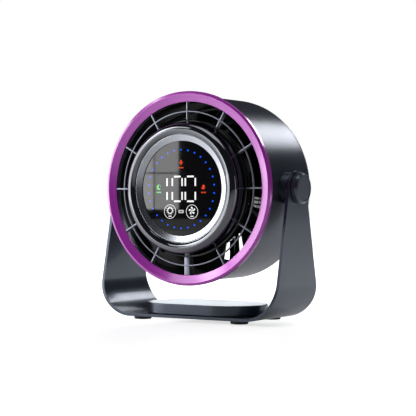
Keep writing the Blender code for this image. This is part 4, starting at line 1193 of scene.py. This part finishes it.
def knobs():
    """The capped tilt knobs, one on each side, with their washers."""
    radius, depth = (KNOB_HIGH.z - KNOB_LOW.z) / 2, KNOB_HIGH.x - KNOB_LOW.x
    inlay = radius - 0.0025
    outside, face = KNOB_LOW.x, KNOB_HIGH.x
    roof = BOLT_HIGH.x + GAP
    recess = face - 0.0009
    hollow = 0.009
    for sign, side in ((-1, "left"), (1, "right")):
        corners = [
            (0, roof, 0),
            (hollow, roof, 0),
            (hollow, outside, 0.0002),
            (radius, outside, 0.0004),
            (radius, face - depth * 0.34, 0.0007),
            (radius - 0.0013, face, 0.0005),
            (inlay + GAP, face, 0.0002),
            (inlay + GAP, recess, 0),
            (0, recess, 0),
        ]
        outline = [(a, sign * b) for a, b in rounded(corners, 5, closed=False)]
        cap = level(turned(f"tilt_knob_{side}", outline, "X", steps=96))
        ready(cap, "head", STRAP_PAINT, f"knob_{side}", slot="graphite_metal")
        disc_corners = [
            (0, recess + GAP, 0),
            (inlay, recess + GAP, 0),
            (inlay, face - 0.0002, 0.0002),
            (0, face - 0.0002, 0),
        ]
        outline = [(a, sign * b) for a, b in rounded(disc_corners, 3, closed=False)]
        disc = level(turned(f"knob_inlay_{side}", outline, "X", steps=96))
        ready(disc, "head", SLATE, f"knob_disc_{side}", slot="slate")
        low, high = WASHER_LOW.x, WASHER_HIGH.x
        edge = WASHER_HIGH.z - UP
        washer = section(0.0043, edge, low, high, (0, 0.0002, 0.0002, 0), 3)
        outline = [(a, sign * b) for a, b in washer]
        washer = turned(f"tilt_washer_{side}", outline, "X", steps=96)
        ready(washer, "stand", RUBBER, f"friction_washer_{side}", slot="rubber")


# ---- stand


def strap_stations():
    """(x, z, half depth) from the middle of the base, round the bend and over the arm's round top."""
    low, middle = ARM_LOW.z, ARM_OUTER - BEND
    stations = [(middle * i / 5, low, HALF_DEPTH) for i in range(6)]
    centre = low + BEND
    run = UP - SHOULDER
    lean = asin((HALF_DEPTH - ARM_TOP) / run)

    def half_depth(z):
        slope = (HALF_DEPTH - ARM_TOP * cos(lean)) / (UP + ARM_TOP * sin(lean) - SHOULDER)
        corner = 0.006
        reach = z - SHOULDER
        if reach <= -corner:
            return HALF_DEPTH
        if reach < corner:
            return HALF_DEPTH - slope * (reach + corner) ** 2 / (4 * corner)
        return HALF_DEPTH - slope * reach

    turns = 28
    for i in range(1, turns + 1):
        angle = pi / 2 * i / turns
        z = centre - BEND * cos(angle)
        stations.append((middle + BEND * sin(angle), z, half_depth(z)))
    top = UP + ARM_TOP * sin(lean)
    for i in range(1, 13):
        z = centre + (top - centre) * i / 12
        stations.append((ARM_OUTER, z, half_depth(z)))
    for i in range(1, 25):
        angle = lean + (pi / 2 - lean) * i / 24
        stations.append((ARM_OUTER, UP + ARM_TOP * sin(angle), ARM_TOP * cos(angle)))
    return stations


def bracket():
    """One strap, drawn out from the middle of the base and over the arm, then mirrored and thickened."""
    stations = strap_stations()
    x, z, half = stations[0]
    strap = drawn("bracket", [(x, -half, z), (x, half, z)])
    bpy.ops.mesh.select_all(action="SELECT")
    for (x0, z0, half0), (x1, z1, half1) in zip(stations, stations[1:]):
        step = (x1 - x0, 0, z1 - z0)
        bpy.ops.mesh.extrude_edges_move(TRANSFORM_OT_translate={"value": step})
        bpy.ops.transform.resize(value=(1, max(half1, 1e-7) / half0, 1), center_override=(0, 0, 0))
    close_up()
    leave()
    modify(strap, "MIRROR", use_axis=(True, False, False), merge_threshold=0.00001)
    into(strap)
    bpy.ops.mesh.select_all(action="SELECT")
    bpy.ops.mesh.normals_make_consistent(inside=False)
    leave()
    lowest = min(strap.data.polygons, key=lambda face: face.center.z)
    if lowest.normal.z > 0:
        into(strap)
        bpy.ops.mesh.select_all(action="SELECT")
        bpy.ops.mesh.flip_normals()
        leave()
    modify(strap, "SOLIDIFY", thickness=STRAP, offset=-1, use_even_offset=True)
    soften(strap, 0.00055, 4, 50)
    drill(strap, BUSH_RADIUS + GAP, -0.1, 0.1, "X", steps=FINE)
    for x in (-BASE_SCREW_X, BASE_SCREW_X):
        seat = ARM_LOW.z + 0.0012
        hole = [(0, 0), (0.0043, 0), (0.0043, seat), (BASE_HOLE, seat), (BASE_HOLE, 0.01), (0, 0.01)]
        boolean(strap, turned("base_hole", hole, "Z", (x, 0, 0), COARSE))
    shade(strap)
    level(strap)
    return ready(strap, "stand", STRAP_PAINT, "stand_bracket", slot="graphite_metal")


def base_weight():
    """The slab with half-round ends, its edges broken all round."""
    low, high = WEIGHT_LOW, WEIGHT_HIGH
    outline = stadium(high.x - low.x, high.y - low.y, 40)
    slab = plate("weight", outline, "Z", low.z, high.z)
    soften(slab, 0.0008, 4, 50)
    for x in (-BASE_SCREW_X, BASE_SCREW_X):
        drill(slab, BASE_HOLE, 0, low.z + 0.0055, "Z", (x, 0, 0))
    shade(slab)
    level(slab)
    return ready(slab, "stand", STRAP_PAINT, "base_weight", slot="graphite_metal")


def base_screws():
    for side in ("left", "right"):
        low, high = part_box(f"base_screw_{side}")
        x = (low.x + high.x) / 2
        screw = cross_screw(
            f"stand_screw_{side}", (x, 0, 0), 0.004, low.z, -1, "Z", 0.002, 0.0009, high.z - low.z - 0.0009
        )
        ready(screw, "stand", STEEL, f"base_screw_{side}", slot="steel")


def feet():
    """Moulded rubber feet with a raised ring on the sole."""
    for row in ("front", "rear"):
        for side in ("left", "right"):
            node = f"foot_{row}_{side}"
            low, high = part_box(node)
            radius = (high.x - low.x) / 2
            corners = [
                (0, 0.0003, 0),
                (radius - 0.0026, 0.0003, 0.0003),
                (radius - 0.0022, 0, 0.0003),
                (radius - 0.0004, 0, 0.0004),
                (radius, 0.0009, 0.0005),
                (radius, high.z, 0.0002),
                (0, high.z, 0),
            ]
            centre = ((low.x + high.x) / 2, (low.y + high.y) / 2, 0)
            foot = turned(f"rubber_{node}", rounded(corners, 3, closed=False), "Z", centre, FINE)
            ready(foot, "stand", RUBBER, node, slot="rubber")


def dress_plain_nodes():
    """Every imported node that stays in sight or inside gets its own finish."""
    kept = {
        NYLON: ["pivot_bush_left", "pivot_bush_right"],
        STEEL: ["pivot_bolt_left", "pivot_bolt_right", "bearing_front", "bearing_rear", "stator_core"]
        + ["rotor_can", "motor_shaft", "shaft_clip", "impeller_nut"]
        + [f"hub_screw_{i}" for i in (1, 2, 3, 4)]
        + [f"motor_screw_{i}" for i in (1, 2, 3)],
        BRASS: ["pivot_insert_left", "pivot_insert_right"],
        MATT: ["hub_cover", "ribbon_cable"],
        BOARD: ["control_board", "display_board", "motor_board"],
        MASK: ["light_box"],
        WRAP: ["battery_cell_upper", "battery_cell_lower"],
        FERRITE: ["magnet_ring"],
        BRUSHED: ["motor_base"],
    }
    for finish, names in kept.items():
        for name in names:
            mesh = frame["nodes"][name].data
            mesh.materials.clear()
            mesh.materials.append(finish)


# ---- studio


def floor():
    """A large pale disc whose glow is painted lower round the stand, as a painted shadow,
    and rises to white towards its edge.

    What the fan mirrors of it is painted dimmer than what is seen of it, and darkest to the front right,
    as painted shade in the fan's reflections.
    """
    deselect()
    bpy.ops.mesh.primitive_circle_add(vertices=96, radius=6, fill_type="NGON", location=(0, 0, -0.0004))
    ground = bpy.context.object
    ground.name = "floor"
    pale = new_finish("pale_floor", (0.8, 0.8, 0.81), 0.6)
    shader_of(pale).inputs["Emission Color"].default_value = (1, 1, 1, 1)
    points = object_points(pale)
    reach = node_of(pale, "ShaderNodeVectorMath", operation="LENGTH")
    link(pale, points, reach.inputs[0])
    side = node_of(pale, "ShaderNodeVectorMath", operation="NORMALIZE")
    link(pale, points, side.inputs[0])
    facing = node_of(pale, "ShaderNodeVectorMath", operation="DOT_PRODUCT")
    facing.inputs[1].default_value = (0.5, -0.866, 0)
    link(pale, side.outputs["Vector"], facing.inputs[0])
    dimmed = node_of(pale, "ShaderNodeMath", operation="MULTIPLY")
    # painted shadow: the glow is lowest near the stand and rises outward
    link(pale, ranged(pale, reach.outputs["Value"], 0.08, 0.5, 0.3, 0.68), dimmed.inputs[0])
    # painted shade on the mirrored floor, darkest to the front right
    link(pale, ranged(pale, facing.outputs["Value"], 0.35, 0.8, 1, 0.15), dimmed.inputs[1])
    # the camera sees 0.62 more glow than reflections do, so the mirrored floor is painted dimmer
    seen = node_of(pale, "ShaderNodeMath", operation="MULTIPLY_ADD")
    seen.inputs[1].default_value = 0.62
    link(pale, node_of(pale, "ShaderNodeLightPath").outputs["Is Camera Ray"], seen.inputs[0])
    link(pale, dimmed.outputs["Value"], seen.inputs[2])
    link(pale, seen.outputs["Value"], shader_of(pale).inputs["Emission Strength"])
    ground.data.materials.append(pale)


def surroundings():
    """White to the eye, and dim in reflections, so that the soft boxes shape the surfaces."""
    world = bpy.data.worlds.new("studio")
    bpy.context.scene.world = world
    world.use_nodes = True
    nodes, links = world.node_tree.nodes, world.node_tree.links
    nodes.clear()
    seen = nodes.new("ShaderNodeBackground")
    seen.inputs["Color"].default_value = (1, 1, 1, 1)
    dim = nodes.new("ShaderNodeBackground")
    dim.inputs["Color"].default_value = (0.8, 0.88, 1, 1)
    dim.inputs["Strength"].default_value = 0.035
    path = nodes.new("ShaderNodeLightPath")
    mix = nodes.new("ShaderNodeMixShader")
    out = nodes.new("ShaderNodeOutputWorld")
    links.new(path.outputs["Is Camera Ray"], mix.inputs["Fac"])
    links.new(dim.outputs["Background"], mix.inputs[1])
    links.new(seen.outputs["Background"], mix.inputs[2])
    links.new(mix.outputs["Shader"], out.inputs["Surface"])


def soft_box(name, direction, distance, width, height, radiance, tint=(1, 1, 1), aim=None):
    """A rectangular light in that direction from the aim, facing it, of even brightness."""
    aim = Vector(aim or (0, 0, 0.09))
    away = Vector(direction).normalized()
    data = bpy.data.lights.new(name, "AREA")
    data.shape = "RECTANGLE"
    data.size, data.size_y = width, height
    data.energy = radiance * pi * width * height
    data.color = tint
    light = bpy.data.objects.new(name, data)
    light.location = aim + away * distance
    light.rotation_euler = away.to_track_quat("Z", "Y").to_euler()
    light.visible_camera = False
    bpy.context.scene.collection.objects.link(light)
    return light


CAMERA_SPOT = Vector((0.5949, -0.9384, 0.0959))
CAMERA_AIM = Vector((0.00387, -0.00505, 0.09145))


def camera():
    data = bpy.data.cameras.new("camera")
    data.sensor_width = 36
    data.lens = 116.5
    data.clip_start = 0.01
    view = bpy.data.objects.new("camera", data)
    view.location = CAMERA_SPOT
    view.rotation_euler = (CAMERA_AIM - CAMERA_SPOT).to_track_quat("-Z", "Y").to_euler()
    bpy.context.scene.collection.objects.link(view)
    bpy.context.scene.camera = view


def lights():
    """A window to the front left, its soft neighbours, and strips behind and beside the fan."""
    soft_box("back_strip", (0.17, 0.845, 0.52), 1.3, 0.42, 0.28, 6.5)
    soft_box("back_low", (-0.535, 0.845, 0.06), 1.6, 1.3, 0.3, 2.2, (0.9, 0.95, 1))
    soft_box("front_left_high", (-0.74, -0.58, 0.48), 1.5, 0.5, 0.45, 4.8)
    soft_box("front_high", (-0.56, -0.76, 0.48), 1.5, 0.3, 0.45, 1.8)
    soft_box("left_side", (-0.927, -0.375, 0.1), 1.4, 0.8, 0.9, 2.8)
    soft_box("left_near", (-0.684, -0.73, 0.05), 1.4, 0.3, 0.8, 2.4)
    soft_box("top", (0.1, -0.1, 1.0), 1.5, 1.2, 1.2, 1.2)
    soft_box("right_side", (0.95, -0.2, 0.05), 1.4, 0.12, 0.7, 1.2)
    window_panes()


def window_panes():
    """Panes of a far window, placed so that the display mirrors them in its left half."""
    middle = Vector((-1.739, -2.717, 0.0))
    away = Vector((-0.546, -0.837, 0))
    left = Vector((-0.837, 0.546, 0))
    width, height, bar_width, sill = 0.086, 0.123, 0.004, 0.069
    for column, radiance in ((0, 4.2), (1, 5.6)):
        for row in range(3):
            along = 0.035 + width * (column + 0.5)
            spot = middle + left * along + Vector((0, 0, sill + height * (row + 0.5)))
            size = (width - bar_width, height - bar_width)
            soft_box(f"pane_{column}_{row}", away, 1.0, *size, radiance, aim=spot - away.normalized())


camera()
bezel()
barrel()
grille()
hub()
trim_ring()
window()
display_marks()
rear_grille()
rear_lid()
charging_socket()
impeller()
knobs()
bracket()
base_weight()
base_screws()
feet()
dress_plain_nodes()
floor()
surroundings()
lights()
bpy.context.scene.view_settings.view_transform = "Standard"
